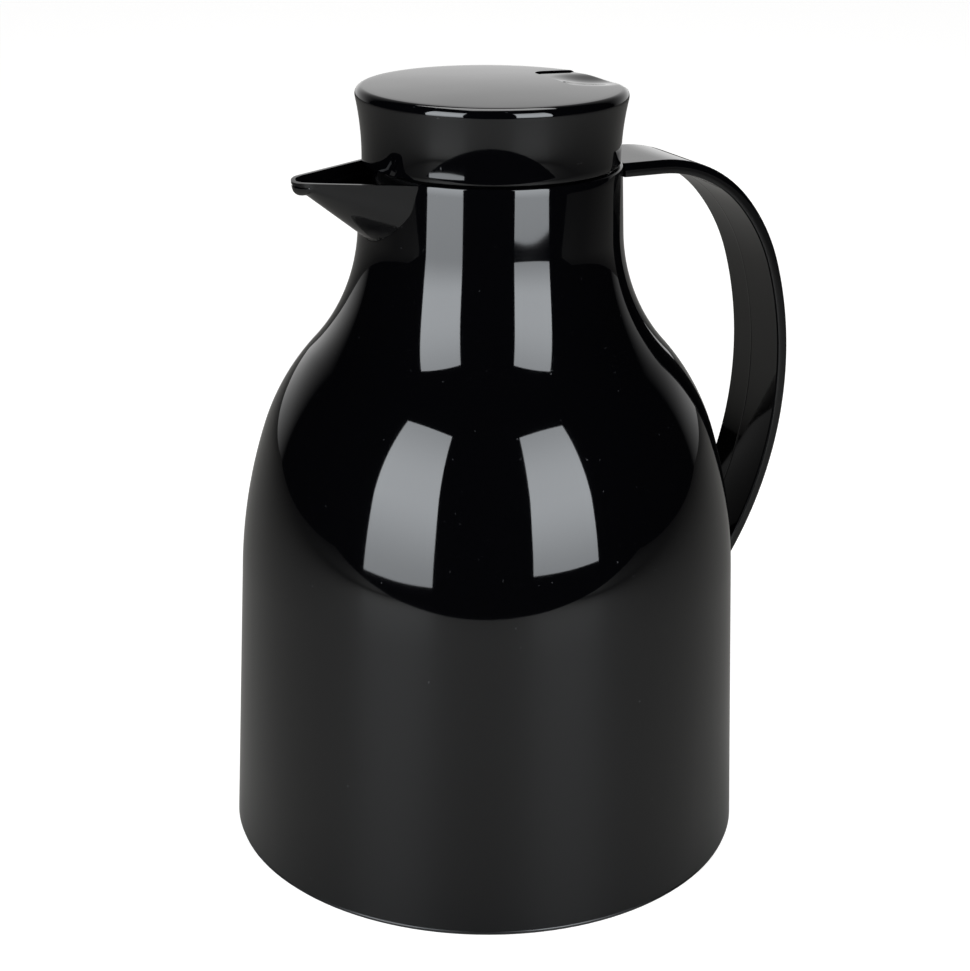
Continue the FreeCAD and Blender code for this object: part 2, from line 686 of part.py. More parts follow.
def make_base_cap():
    body = piece("base_cap")
    edge = wall_radius(S.foot_line, dim(0)) - S.base_inset
    top = S.foot_line - S.base_seam
    plate = S.base_floor + S.base_plate
    spigot = wall_radius(S.base_spigot, S.shell_wall) - S.base_fit
    inside = spigot - S.base_wall
    ring = edge - S.stand_ring
    path = Path(0, S.base_floor).line(ring - S.base_plate, S.base_floor).line(ring, 0)
    path.line(edge - S.base_chamfer, 0).line(edge, S.base_chamfer).line(edge, top).line(spigot, top)
    path.line(spigot, S.base_spigot).line(inside, S.base_spigot).line(inside, plate).line(0, plate)
    turn(body, "plate", path)
    cup = S.cushion_radius + S.soft_gap
    cup_path = box_path(cup, S.base_floor + S.base_plate * 0.5, cup + S.rib_thickness, plate + S.cup_height)
    turn(body, "cup", cup_path)
    half = S.rib_thickness * 0.5
    rib = box_path(cup + half, -half, inside + half, half)
    low = plate - half
    first = push(body, "rib", "XY_Plane", [rib], S.rib_height + half, low)
    around(body, first, S.rib_count)
    half_length, half_width = S.grip_bar_length * 0.5, S.grip_bar_width * 0.5
    bar = box_path(-half_length, -half_width, half_length, half_width)
    push(body, "grip_bar", "XY_Plane", [bar], plate - half - S.grip_bar_recess, S.grip_bar_recess)
    return body


# Where the flask stands: its bottom on the cushion, its lip under the gasket

FLASK_BASE = S.base_floor + S.base_plate + S.cushion_height
FLASK_LIP = RING_BASE - S.gasket_height
INNER_DEPTH = S.outer_glass + S.vacuum_gap


def follow_flask(path, depth, top, upward):
    """Adds the flask's outline, moved inwards by depth, between its bottom and its neck."""
    side = bell(dim(0))[2][0] - S.flask_clearance
    neck_base = FLASK_LIP - S.flask_neck_length
    lean = S.flask_lean
    x = S.flask_neck + S.flask_neck_sweep * (dim(1) - cosine(lean))
    z = neck_base - S.flask_neck_sweep * sine(lean)
    shoulder = (side - x) / (dim(1) - cosine(lean))
    bottom = FLASK_BASE + depth
    round_radius = S.flask_bottom_round - depth
    points = [
        (side - S.flask_bottom_round, bottom),
        (side - depth, FLASK_BASE + S.flask_bottom_round),
        (side - depth, z - shoulder * sine(lean)),
        (x - depth * cosine(lean), z - depth * sine(lean)),
        (S.flask_neck - depth, neck_base),
        (S.flask_neck - depth, top),
    ]
    bends = [(round_radius, 1), None, (shoulder - depth, 1), (S.flask_neck_sweep + depth, -1), None]
    if not upward:
        points.reverse()
        bends = [bend and (bend[0], -bend[1]) for bend in reversed(bends)]
    path.line(*points[0])
    for point, bend in zip(points[1:], bends):
        if bend is None:
            path.line(*point)
        else:
            path.arc(*point, *bend)
    return path


def make_flask_outer_wall():
    body = piece("flask_outer_wall")
    tip = S.sealed_tip
    path = Path(0, FLASK_BASE - tip).line(tip * 0.35, FLASK_BASE - tip).line(tip * 0.9, FLASK_BASE)
    follow_flask(path, dim(0), FLASK_LIP, True)
    lip = S.flask_neck - INNER_DEPTH + S.seat_gap
    under = FLASK_LIP - S.outer_glass
    path.line(lip, FLASK_LIP).line(lip, under)
    follow_flask(path, S.outer_glass, under, False)
    path.line(0, FLASK_BASE + S.outer_glass)
    turn(body, "glass", path)
    return body


def make_flask_inner_wall():
    body = piece("flask_inner_wall")
    path = follow_flask(Path(0, FLASK_BASE + INNER_DEPTH), INNER_DEPTH, FLASK_LIP, True)
    inside = INNER_DEPTH + S.inner_glass
    follow_flask(path, inside, FLASK_LIP, False)
    path.line(0, FLASK_BASE + inside)
    turn(body, "glass", path)
    return body


def make_flask_spacers():
    """Pads between the two glass bottoms."""
    pads = []
    for i in range(int(S.spacer_count.value)):
        pad = doc.addObject("Part::Cylinder", f"spacer_{i}")
        pad.setExpression("Radius", S.spacer_radius.text)
        pad.setExpression("Height", S.vacuum_gap.text)
        angle = dim(360 * i) / S.spacer_count
        pad.setExpression("Placement.Base.x", (S.spacer_circle * cosine(angle)).text)
        pad.setExpression("Placement.Base.y", (S.spacer_circle * sine(angle)).text)
        pad.setExpression("Placement.Base.z", (FLASK_BASE + S.outer_glass).text)
        pads.append(pad)
    group = doc.addObject("Part::Compound", "flask_spacers")
    group.Label = "flask_spacers"
    group.Links = pads
    PIECES.append(group)
    return group


def make_flask_cushion():
    body = piece("flask_cushion")
    base = S.base_floor + S.base_plate
    turn(body, "pad", box_path(S.tip_room, base, S.cushion_radius, FLASK_BASE))
    return body


def make_neck_gasket():
    body = piece("neck_gasket")
    inner = S.flask_neck - INNER_DEPTH - S.inner_glass * 0.5
    wall = S.flask_neck + S.seat_gap
    outer = wall + S.gasket_width
    skirt = FLASK_LIP - S.gasket_skirt
    path = Path(inner, FLASK_LIP).line(wall, FLASK_LIP).line(wall, skirt).line(outer, skirt)
    path.line(outer, RING_BASE).line(inner, RING_BASE)
    turn(body, "ring", path)
    return body


def make_stopper_seal():
    body = piece("stopper_seal")
    turn(body, "ring", box_path(SEAL_BORE, SEAL_BASE, STOPPER_RADIUS, SEAL_TOP))
    return body


def make_stopper_body():
    body = piece("stopper_body")
    spigot = SEAL_BORE - S.soft_gap
    shoulder = SEAL_TOP + S.soft_gap
    cavity = spigot - S.stopper_wall
    step = shoulder + S.stopper_wall
    pocket = STOPPER_RADIUS - S.stopper_wall * 0.5
    brim = LID_BORE - S.soft_gap
    path = Path(S.seat_hole, STOPPER_BASE).line(spigot, STOPPER_BASE).line(spigot, shoulder)
    path.line(STOPPER_RADIUS, shoulder).line(STOPPER_RADIUS, FLANGE_BASE).line(brim, FLANGE_BASE)
    path.line(brim, STOPPER_TOP).line(pocket, STOPPER_TOP).line(pocket, COVER_BASE)
    path.line(STOPPER_BORE, COVER_BASE).line(STOPPER_BORE, step).line(cavity, step)
    lip = STOPPER_FLOOR + S.seat_lip_height
    edge = S.seat_hole + S.seat_lip_width
    path.line(cavity, STOPPER_FLOOR).line(edge, STOPPER_FLOOR).line(edge, lip).line(S.seat_hole, lip)
    turn(body, "cup", path)
    half = S.window_width * 0.5
    low = SEAL_TOP + S.window_floor
    window = box_path(-half, low, half, low + S.window_height)
    start = STOPPER_BORE - S.stopper_wall
    first = push(body, "window", "YZ_Plane", [window], S.stopper_wall * 3, start, True)
    around(body, first, S.window_count)
    return body


def make_stopper_cover():
    body = piece("stopper_cover")
    bore = S.stem_radius + S.run_gap
    edge = STOPPER_RADIUS - S.stopper_wall * 0.5 - S.seat_gap
    top = COVER_BASE + S.bush_height
    seat = top - S.stem_seal_height
    room = S.stem_seal_radius + S.seat_gap
    path = Path(bore, COVER_BASE).line(edge, COVER_BASE).line(edge, COVER_TOP)
    path.line(S.bush_radius, COVER_TOP).line(S.bush_radius, top).line(room, top)
    path.line(room, seat).line(bore, seat)
    turn(body, "plate", path)
    # low ring under the cover that keeps the spring on the stem's axis
    inner = S.coil_radius + S.wire_radius + S.soft_gap
    low = COVER_BASE - S.wire_radius * 3
    high = COVER_BASE + S.cover_thickness * 0.5
    turn(body, "spring_ring", box_path(inner, low, inner + S.stopper_wall * 0.5, high))
    return body


def make_stem_seal():
    body = piece("stem_seal")
    top = COVER_BASE + S.bush_height
    inner = S.stem_radius + S.run_gap
    turn(body, "ring", box_path(inner, top - S.stem_seal_height, S.stem_seal_radius, top))
    return body


def make_valve_stem():
    body = piece("valve_stem")
    low = WASHER_BASE - S.foot_thickness
    path = Path(0, low).line(S.foot_radius, low).line(S.foot_radius, WASHER_BASE)
    path.line(S.stem_radius, WASHER_BASE).line(S.stem_radius, STEM_TOP).line(0, STEM_TOP)
    turn(body, "rod", path)
    return body


def make_valve_washer():
    body = piece("valve_washer")
    inner = S.stem_radius + S.seat_gap
    outer = S.seat_hole + S.washer_overlap
    turn(body, "ring", box_path(inner, WASHER_BASE, outer, DISC_BASE))
    return body


def make_valve_disc():
    body = piece("valve_disc")
    inner = S.stem_radius + S.seat_gap
    outer = S.seat_hole + S.washer_overlap + S.disc_overlap
    top = DISC_TOP + S.hub_height
    path = Path(inner, DISC_BASE).line(outer, DISC_BASE).line(outer, DISC_TOP)
    path.line(S.hub_radius, DISC_TOP).line(S.hub_radius, top).line(inner, top)
    turn(body, "plate", path)
    return body


def make_stem_nut():
    body = piece("stem_nut")
    inner = S.stem_radius + S.seat_gap
    turn(body, "head", box_path(inner, NUT_BASE, S.nut_radius, STEM_TOP))
    return body


def biarc(first, first_way, last, last_way):
    """Two arcs in a row from one point and direction to another point and direction."""
    reach = last - first
    spread = 2 * (1 - first_way.dot(last_way))
    ahead = reach.dot(first_way + last_way)
    arm = (math.sqrt(ahead * ahead + spread * reach.dot(reach)) - ahead) / spread
    middle = (first + last + (first_way - last_way) * arm) * 0.5
    middle_way = (last - last_way * arm) - (first + first_way * arm)
    middle_way.normalize()
    arcs = []
    for start, way, stop in ((first, first_way, middle), (middle, middle_way, last)):
        chord = stop - start
        side = way - chord * (way.dot(chord) / chord.dot(chord))
        side.normalize()
        bulge = chord.Length * 0.5 * math.tan(way.getAngle(chord) * 0.5)
        arcs.append(Part.Arc(start, (start + stop) * 0.5 + side * bulge, stop).toShape())
    return arcs


def make_valve_spring():
    """A coil of round wire between the disc and the cover: one tube along biarcs of half a turn."""
    radius = S.coil_radius.value
    wire = S.wire_radius.value
    low = DISC_TOP.value + wire + S.seat_gap.value
    high = COVER_BASE.value - wire - S.seat_gap.value
    turns = int(S.coil_turns.value)
    pitch = (high - low) / turns

    def coil_point(turned):
        angle = turned * math.tau
        return Vector(radius * math.cos(angle), radius * math.sin(angle), low + pitch * turned)

    def coil_way(turned):
        angle = turned * math.tau
        way = Vector(-radius * math.sin(angle), radius * math.cos(angle), pitch / math.tau)
        return way.normalize()

    edges = []
    for i in range(turns * 2):
        here, after = i * 0.5, i * 0.5 + 0.5
        edges += biarc(coil_point(here), coil_way(here), coil_point(after), coil_way(after))
    section = Part.Wire([Part.Circle(coil_point(0), coil_way(0), wire).toShape()])
    coil = doc.addObject("Part::Feature", "valve_spring")
    coil.Label = "valve_spring"
    coil.Shape = Part.Wire(edges).makePipeShell([section], True, False)
    PIECES.append(coil)
    # least gap between turns, measured on points along the coil
    points = [coil_point(i / 24) for i in range(turns * 24 + 1)]
    gaps = []
    for i, point in enumerate(points):
        gaps += [(other - point).Length for other in points[i + 12:]]
    print("valve_spring least gap to itself", round(min(gaps) - wire * 2, 2), "mm")
    return coil


def lid_edge():
    """Lid's outline: end of the flare, centre of the edge rounding and start of the dome."""
    rise = S.lid_flare_height - S.lid_skirt
    lean = rise / S.lid_flare_radius
    level = root(dim(1) - lean * lean)
    flare = (LID_RADIUS + S.lid_flare_radius * (dim(1) - level), LID_BASE + S.lid_flare_height)
    centre = (flare[0] - S.lid_edge_radius * level, flare[1] + S.lid_edge_radius * lean)
    edge = S.lid_edge_radius
    dome = (centre[0] + edge * sine(S.lid_dome), centre[1] + edge * cosine(S.lid_dome))
    return flare, centre, dome


def lid_dome():
    """Radius and height of the lid's domed top."""
    edge = lid_edge()[2]
    radius = edge[0] / sine(S.lid_dome)
    return radius, edge[1] + radius * (dim(1) - cosine(S.lid_dome))


def make_lid_shell():
    body = piece("lid_shell")
    flare, centre, edge = lid_edge()
    dome_radius, apex = lid_dome()
    path = Path(LID_BORE, LID_BASE).line(LID_RADIUS, LID_BASE).line(LID_RADIUS, LID_BASE + S.lid_skirt)
    path.arc(*flare, S.lid_flare_radius, -1)
    path.arc(centre[0] + S.lid_edge_radius, centre[1], S.lid_edge_radius, 1)
    path.arc(*edge, S.lid_edge_radius, 1)
    path.arc(0, apex, dome_radius, 1)
    path.line(0, LID_CEILING).line(LID_BORE, LID_CEILING)
    # ledge that rests on the stopper's flange
    ledge = LID_BORE - S.ledge_width
    path.line(LID_BORE, STOPPER_TOP + S.lid_wall).line(ledge, STOPPER_TOP + S.lid_wall)
    path.line(ledge, STOPPER_TOP).line(LID_BORE, STOPPER_TOP)
    turn(body, "cap", path)
    # slot for the lever, open to the rear
    half = S.lever_width * 0.5
    near, far = S.lever_start, LID_RADIUS * 1.2
    slot = Path(near + S.lever_corner, -half).line(far, -half).line(far, half)
    slot.line(near + S.lever_corner, half).arc(near, half - S.lever_corner, S.lever_corner, 1)
    slot.line(near, S.lever_corner - half).arc(near + S.lever_corner, -half, S.lever_corner, 1)
    low = apex - S.lever_drop - S.lever_plate - S.notch_depth
    push(body, "lever_slot", "XY_Plane", [slot], apex - low + S.lid_wall, low, True)
    # two ears under the top that hold the lever's pin
    reach = S.lever_hub
    low = PIVOT_HEIGHT
    ear = Path(S.pivot_reach + reach, low).line(S.pivot_reach + reach, LID_CEILING + S.seat_gap * 2)
    ear.line(S.pivot_reach - reach, LID_CEILING + S.seat_gap * 2).line(S.pivot_reach - reach, low)
    ear.arc(S.pivot_reach, low - reach, reach, 1).arc(S.pivot_reach + reach, low, reach, 1)
    inner = S.lever_hub_width * 0.5 + S.lever_gap
    outer = inner + S.ear_thickness
    push(body, "left_ear", "XZ_Plane", [ear], S.ear_thickness, -outer)
    push(body, "right_ear", "XZ_Plane", [ear], S.ear_thickness, inner)
    bore = Circle(S.pivot_reach, PIVOT_HEIGHT, S.pin_radius + S.seat_gap)
    push(body, "pin_hole", "XZ_Plane", [bore], outer * 2.1, None, True, True)
    return body


def make_lever_pin():
    """Steel pin across the two ears."""
    length = S.lever_hub_width + S.lever_gap * 2 + S.ear_thickness * 2
    pin = doc.addObject("Part::Cylinder", "lever_pin")
    pin.Label = "lever_pin"
    pin.setExpression("Radius", S.pin_radius.text)
    pin.setExpression("Height", length.text)
    pin.Placement = Placement(Vector(), Rotation(Vector(1, 0, 0), -90))
    pin.setExpression("Placement.Base.x", S.pivot_reach.text)
    pin.setExpression("Placement.Base.y", (-length * 0.5).text)
    pin.setExpression("Placement.Base.z", PIVOT_HEIGHT.text)
    PIECES.append(pin)
    return pin


def make_thumb_lever():
    body = piece("thumb_lever")
    flare, centre, edge = lid_edge()
    dome_radius, apex = lid_dome()
    half = S.lever_width * 0.5 - S.lever_gap
    near = S.lever_start + S.lever_gap
    corner = S.lever_corner - S.lever_gap
    rear = centre[0] + S.lid_edge_radius
    pad_base = LID_CEILING - S.lever_drop
    # pad in the lid's slot, with its rear edge along the lid's rim
    side = root(rear * rear - half * half)
    pad = Path(near + corner, -half).line(side, -half).arc(side, half, rear, 1)
    pad.line(near + corner, half).arc(near, half - corner, corner, 1)
    pad.line(near, corner - half).arc(near + corner, -half, corner, 1)
    push(body, "pad", "XY_Plane", [pad], apex - pad_base, pad_base)
    # the pad's face follows the lid's dome and rim, a little lower
    drop = S.lever_drop
    over = apex + S.lid_wall
    face = Path(0, apex - drop).line(0, over).line(rear * 1.2, over).line(rear * 1.2, centre[1] - drop)
    face.line(rear, centre[1] - drop).arc(edge[0], edge[1] - drop, S.lid_edge_radius, 1)
    face.arc(0, apex - drop, dome_radius, 1)
    turn(body, "face", face, True)
    # shallow finger dish
    reach = (near + rear) * 0.52
    level = apex - drop - reach * reach / (dome_radius * 2)
    bowl = (S.dish_radius * S.dish_radius + S.dish_depth * S.dish_depth) / (S.dish_depth * 2)
    make_dish(body, reach, level, bowl)
    # hub on the pin, web up to the pad and fork under the stem's nut
    height = PIVOT_HEIGHT
    hub = S.lever_hub
    web = Path(S.pivot_reach, height - hub).line(near + hub * 2, pad_base - hub * 0.3)
    web.line(near + hub * 2, pad_base + S.lever_plate * 0.5).line(near, pad_base + S.lever_plate * 0.5)
    web.line(near, LID_CEILING - S.lever_gap).line(S.pivot_reach, height + hub)
    web.arc(S.pivot_reach - hub, height, hub, 1).arc(S.pivot_reach, height - hub, hub, 1)
    push(body, "web", "XZ_Plane", [web], S.lever_hub_width, None, False, True)
    nose = S.nose_radius
    fork = Path(0, height - nose).line(S.pivot_reach, height - hub * 0.8)
    fork.line(S.pivot_reach, height + hub * 0.5).line(S.pivot_reach - hub, height + nose * 0.3)
    fork.line(nose * 2, height + nose * 0.3).line(nose, height)
    fork.arc(0, height + nose, nose, 1).arc(-nose, height, nose, 1).arc(0, height - nose, nose, 1)
    push(body, "fork", "XZ_Plane", [fork], S.fork_width, None, False, True)
    slot = box_path(-nose * 2, -S.fork_slot * 0.5, S.pivot_reach - hub * 2, S.fork_slot * 0.5)
    push(body, "fork_slot", "XY_Plane", [slot], LID_CEILING - LID_BASE, LID_BASE, True)
    bore = Circle(S.pivot_reach, height, S.pin_radius + S.run_gap)
    push(body, "pin_hole", "XZ_Plane", [bore], S.lever_hub_width * 1.1, None, True, True)
    # apron inside the lid's side, which closes the slot below the pad
    outer = LID_BORE - S.lever_gap * 3
    inner = outer - S.apron_thickness
    outer_side = root(outer * outer - half * half)
    inner_side = root(inner * inner - half * half)
    apron = Path(outer_side, -half).arc(outer_side, half, outer, 1).line(inner_side, half)
    apron.arc(inner_side, -half, inner, -1)
    push(body, "apron", "XY_Plane", [apron], S.apron_height, pad_base - S.apron_height + S.lever_plate * 0.5)
    return body


def make_dish(body, reach, level, bowl):
    """Turns a shallow bowl out of the lever's face about an upright axis at the given reach."""
    before = volume_of(body)
    rise = S.dish_depth * 3
    path = Path(reach, level - S.dish_depth).arc(reach + S.dish_radius, level, bowl, 1)
    path.line(reach + S.dish_radius, level + rise).line(reach, level + rise)
    sketch = sketch_on(body, "dish_sketch", "XZ_Plane", [path])
    axis = Part.LineSegment(Vector(reach.value, 0, 0), Vector(reach.value, level.value, 0))
    line = sketch.addGeometry(axis, True)
    sketch.addConstraint(Sketcher.Constraint("Vertical", line))
    place_point(sketch, line, 1, (reach, dim(0)))
    fix(sketch, "DistanceY", level, line, 2)
    groove = body.newObject("PartDesign::Groove", "thumb_lever_dish")
    groove.Profile = sketch
    groove.ReferenceAxis = (sketch, ["Axis0"])
    groove.Angle = 360
    return finish_feature(body, groove, before, True)


MAKERS = [
    make_body_shell,
    make_neck_ring,
    make_pour_collar,
    make_handle,
    make_base_cap,
    make_flask_cushion,
    make_flask_outer_wall,
    make_flask_inner_wall,
    make_flask_spacers,
    make_neck_gasket,
    make_stopper_seal,
    make_lid_shell,
    make_stopper_body,
    make_stopper_cover,
    make_stem_seal,
    make_thumb_lever,
    make_lever_pin,
    make_valve_stem,
    make_valve_washer,
    make_valve_disc,
    make_stem_nut,
    make_valve_spring,
]

for make in MAKERS:
    make()
doc.recompute()

for item in doc.Objects:
    if "Invalid" in item.State or "Error" in item.State:
        raise RuntimeError(f"{item.Name} failed: {item.State}")

os.makedirs("parts", exist_ok=True)
for item in PIECES:
    if item.Shape.isNull() or not item.Shape.isValid():
        raise RuntimeError(f"{item.Label} has no valid shape")
    item.Shape.exportStep(f"parts/{item.Label}.step")
    print(item.Label, len(item.Shape.Solids), "solid", round(item.Shape.Volume), "mm3")
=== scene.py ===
# %% [markdown]
# Thermal jug in glossy black ABS.
# The CAD model gives every piece its size and place. This lesson dresses it: the large glossy pieces are
# turned, lofted and swept again as fine, smooth meshes, because a mirror-like black surface shows every facet
# of a CAD mesh, and the pieces inside keep their CAD shape under a better material.

# %% Load the CAD frame
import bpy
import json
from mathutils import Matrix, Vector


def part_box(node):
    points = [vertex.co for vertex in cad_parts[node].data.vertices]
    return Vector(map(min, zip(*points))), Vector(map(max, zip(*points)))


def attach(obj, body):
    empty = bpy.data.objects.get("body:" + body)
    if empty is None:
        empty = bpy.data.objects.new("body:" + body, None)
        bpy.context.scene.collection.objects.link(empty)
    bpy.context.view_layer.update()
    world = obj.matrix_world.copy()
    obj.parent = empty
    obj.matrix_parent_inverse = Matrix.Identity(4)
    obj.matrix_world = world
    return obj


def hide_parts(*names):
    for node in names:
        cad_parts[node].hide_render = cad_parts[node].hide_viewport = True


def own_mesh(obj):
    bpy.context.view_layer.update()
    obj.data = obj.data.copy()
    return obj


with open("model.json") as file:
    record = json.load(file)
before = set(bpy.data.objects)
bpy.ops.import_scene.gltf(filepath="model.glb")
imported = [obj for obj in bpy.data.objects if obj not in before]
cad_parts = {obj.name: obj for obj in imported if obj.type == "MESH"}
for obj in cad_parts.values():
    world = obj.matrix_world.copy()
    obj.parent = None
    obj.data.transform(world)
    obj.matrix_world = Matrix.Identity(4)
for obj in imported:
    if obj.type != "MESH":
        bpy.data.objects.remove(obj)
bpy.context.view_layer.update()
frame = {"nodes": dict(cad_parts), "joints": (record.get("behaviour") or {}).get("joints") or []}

import json
import math
import bmesh
import bpy
from mathutils import Matrix, Vector

MM = 0.001
JOINTS = {joint["name"]: joint for joint in frame["joints"]}


def cad_corners(node):
    """Lowest and highest corner of a CAD node in millimetres."""
    return [[round(v / MM, 2) for v in corner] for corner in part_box(node)]


# %% [markdown]
# The camera stands where the photograph's stood. It could be placed by eye, but every reflection on the jug
# moves with the camera, so its height, distance, tilt and lens were fitted to the jug's outline. The jug's
# handle points 26 degrees away from the picture plane. A camera looks down its own z axis, so its roll is one
# more turn about that axis.

# %% Camera
FOCAL_PX, PICTURE_PX, SHIFT_PX = 1978.2, 971, (-2.7, -0.5)
SENSOR, NEAREST = 36, 10
DISTANCE, HEIGHT, TILT, ROLL, TURN = 618.7, 354.0, 20.76, 0.63, 26.0


def place_camera():
    data = bpy.data.cameras.new("photo_camera")
    data.sensor_width = SENSOR
    data.lens = FOCAL_PX * SENSOR / PICTURE_PX
    data.shift_x, data.shift_y = [shift / PICTURE_PX for shift in SHIFT_PX]
    data.clip_start = NEAREST * MM
    camera = bpy.data.objects.new("photo_camera", data)
    bpy.context.scene.collection.objects.link(camera)
    turn = math.radians(TURN)
    camera.location = (-DISTANCE * MM * math.sin(turn), -DISTANCE * MM * math.cos(turn), HEIGHT * MM)
    camera.rotation_euler = (math.radians(90 - TILT), 0, -turn)
    camera.matrix_world = camera.matrix_basis @ Matrix.Rotation(math.radians(ROLL), 4, "Z")
    bpy.context.scene.camera = camera
    return camera


print("camera at", [round(v, 4) for v in place_camera().location])

# %% [markdown]
# Materials are small node trees. They could be drawn by hand in the editor, but a script can be read and
# run again. One function turns an sRGB hex colour into the linear values that Blender's sockets hold, and
# one adds a node with its settings, values and links. Every pattern's scale is given as a real size in
# millimetres.

# %% Material helpers
def linear(hex_colour):
    """sRGB hex to linear colour with alpha 1."""
    channels = [int(hex_colour[i:i + 2], 16) / 255 for i in (1, 3, 5)]
    return [c / 12.92 if c <= 0.04045 else ((c + 0.055) / 1.055) ** 2.4 for c in channels] + [1.0]


def add_node(tree, kind, settings=None, inputs=None, links=None):
    """Adds a node, sets its properties and input values, and links its inputs from other sockets."""
    node = tree.nodes.new(kind)
    for name, value in (settings or {}).items():
        setattr(node, name, value)
    for name, value in (inputs or {}).items():
        node.inputs[name].default_value = value
    for name, socket in (links or {}).items():
        tree.links.new(socket, node.inputs[name])
    return node


def new_material(name, settings):
    """A material with one Principled shader, whose constant values are set on its own sockets."""
    material = bpy.data.materials.new(name)
    material.use_nodes = True
    tree = material.node_tree
    shader = tree.nodes["Principled BSDF"]
    for socket, value in settings.items():
        shader.inputs[socket].default_value = value
    return material, tree, shader


def per_mm(size):
    """Noise scale, in Object coordinates of metres, whose features are about size millimetres wide."""
    return 1 / (size * MM)


print("middle grey in linear light", [round(c, 3) for c in linear("#808080")[:3]])

# %% [markdown]
# Black plastics. The outside is ABS, moulded against a polished steel tool, so it mirrors lamps with crisp
# edges. One colour and one low roughness would do, but they look computed: on a real wall the eye still
# sees a very faint unevenness a few centimetres wide, where the plastic sank and flowed, slow changes of
# gloss, and a few specks of dust. The specks are drawn coarser than real dust, so that they show. The satin
# black of the base and the inner pieces is polypropylene from a blasted tool, which takes the same recipe
# with more roughness.

# %% Black plastics
DUST, HAZE, WAVE, WAVE_HIGH = 1.4, 45, 30, 0.2
PLASTIC_IOR, DUST_COLOUR, DUST_ROUGH, GLOSS_RANGE = 1.53, "#2c2c2d", 0.25, (0.7, 1.4)


def black_plastic(name, colour, rough):
    material, tree, shader = new_material(name, {"IOR": PLASTIC_IOR})
    place = add_node(tree, "ShaderNodeTexCoord")
    dust = add_node(tree, "ShaderNodeTexNoise", inputs={"Scale": per_mm(DUST), "Detail": 2.0},
                    links={"Vector": place.outputs["Object"]})
    specks = add_node(tree, "ShaderNodeMapRange",
                      inputs={"From Min": 0.745, "From Max": 0.80, "To Min": 0.0, "To Max": 1.0},
                      links={"Value": dust.outputs["Fac"]})
    haze = add_node(tree, "ShaderNodeTexNoise", inputs={"Scale": per_mm(HAZE), "Detail": 3.0},
                    links={"Vector": place.outputs["Object"]})
    gloss = add_node(tree, "ShaderNodeMapRange",
                     inputs={"From Min": 0.3, "From Max": 0.7, "To Min": rough * GLOSS_RANGE[0],
                             "To Max": rough * GLOSS_RANGE[1]},
                     links={"Value": haze.outputs["Fac"]})
    dusty = add_node(tree, "ShaderNodeMath", {"operation": "MULTIPLY_ADD"}, {1: DUST_ROUGH},
                     {0: specks.outputs["Result"], 2: gloss.outputs["Result"]})
    tint = add_node(tree, "ShaderNodeMix", {"data_type": "RGBA"},
                    {"A": linear(colour), "B": linear(DUST_COLOUR)}, {"Factor": specks.outputs["Result"]})
    wave = add_node(tree, "ShaderNodeTexNoise", inputs={"Scale": per_mm(WAVE), "Detail": 1.0},
                    links={"Vector": place.outputs["Object"]})
    sink = add_node(tree, "ShaderNodeBump", inputs={"Strength": 0.35, "Distance": WAVE_HIGH * MM},
                    links={"Height": wave.outputs["Fac"]})
    tree.links.new(tint.outputs["Result"], shader.inputs["Base Color"])
    tree.links.new(dusty.outputs["Value"], shader.inputs["Roughness"])
    tree.links.new(sink.outputs["Normal"], shader.inputs["Normal"])
    return material


GLOSSY_BLACK = black_plastic("black_abs_polished", "#030304", 0.035)
SATIN_BLACK = black_plastic("black_polypropylene_satin", "#0c0c0d", 0.32)
print("materials", GLOSSY_BLACK.name, SATIN_BLACK.name)

# %% [markdown]
# The small inner pieces show when the lid is off. Silicone is soft and matte, acetal is a milky white
# plastic, silvered glass is a bright mirror, drawn steel wire is a duller one, and the flask's pads are
# pressed fibre with a coarse, dry grain. Five trees could be written, but each finish is a colour and a
# roughness that wander over grains of a real size, so one function makes them all. The finest grains are
# drawn coarser than real ones, so that they show.

# %% Inner materials
def grained(name, colours, grain, rough, settings, bump):
    """A material whose colour and roughness wander over grains, with its grain and bump in millimetres."""
    material, tree, shader = new_material(name, settings)
    place = add_node(tree, "ShaderNodeTexCoord")
    grains = add_node(tree, "ShaderNodeTexNoise", inputs={"Scale": per_mm(grain), "Detail": 4.0},
                      links={"Vector": place.outputs["Object"]})
    tint = add_node(tree, "ShaderNodeMix", {"data_type": "RGBA"},
                    {"A": linear(colours[0]), "B": linear(colours[1])}, {"Factor": grains.outputs["Fac"]})
    gloss = add_node(tree, "ShaderNodeMapRange", inputs={"To Min": rough[0], "To Max": rough[1]},
                     links={"Value": grains.outputs["Fac"]})
    relief = add_node(tree, "ShaderNodeBump", inputs={"Strength": 0.5, "Distance": bump * MM},
                      links={"Height": grains.outputs["Fac"]})
    tree.links.new(tint.outputs["Result"], shader.inputs["Base Color"])
    tree.links.new(gloss.outputs["Result"], shader.inputs["Roughness"])
    tree.links.new(relief.outputs["Normal"], shader.inputs["Normal"])
    print("material", name)
    return material


GREY_SILICONE = grained("grey_silicone", ("#77787a", "#86878a"), grain=0.8, rough=(0.5, 0.65),
                        settings={"IOR": 1.43}, bump=0.02)
WHITE_ACETAL = grained("white_acetal", ("#dcdad2", "#e6e4dd"), grain=3.0, rough=(0.28, 0.4),
                       settings={"IOR": 1.48}, bump=0.01)
SILVERED_GLASS = grained("silvered_glass", ("#d6d9dc", "#e4e6e8"), grain=18.0, rough=(0.03, 0.07),
                         settings={"Metallic": 1.0}, bump=0.05)
STEEL_WIRE = grained("stainless_steel_drawn", ("#9c9c9a", "#b4b4b2"), grain=0.4, rough=(0.22, 0.38),
                     settings={"Metallic": 1.0}, bump=0.01)
FIBRE_PAD = grained("pressed_fibre", ("#b7ae9b", "#d3ccbc"), grain=0.6, rough=(0.85, 0.95),
                    settings={"IOR": 1.4}, bump=0.1)

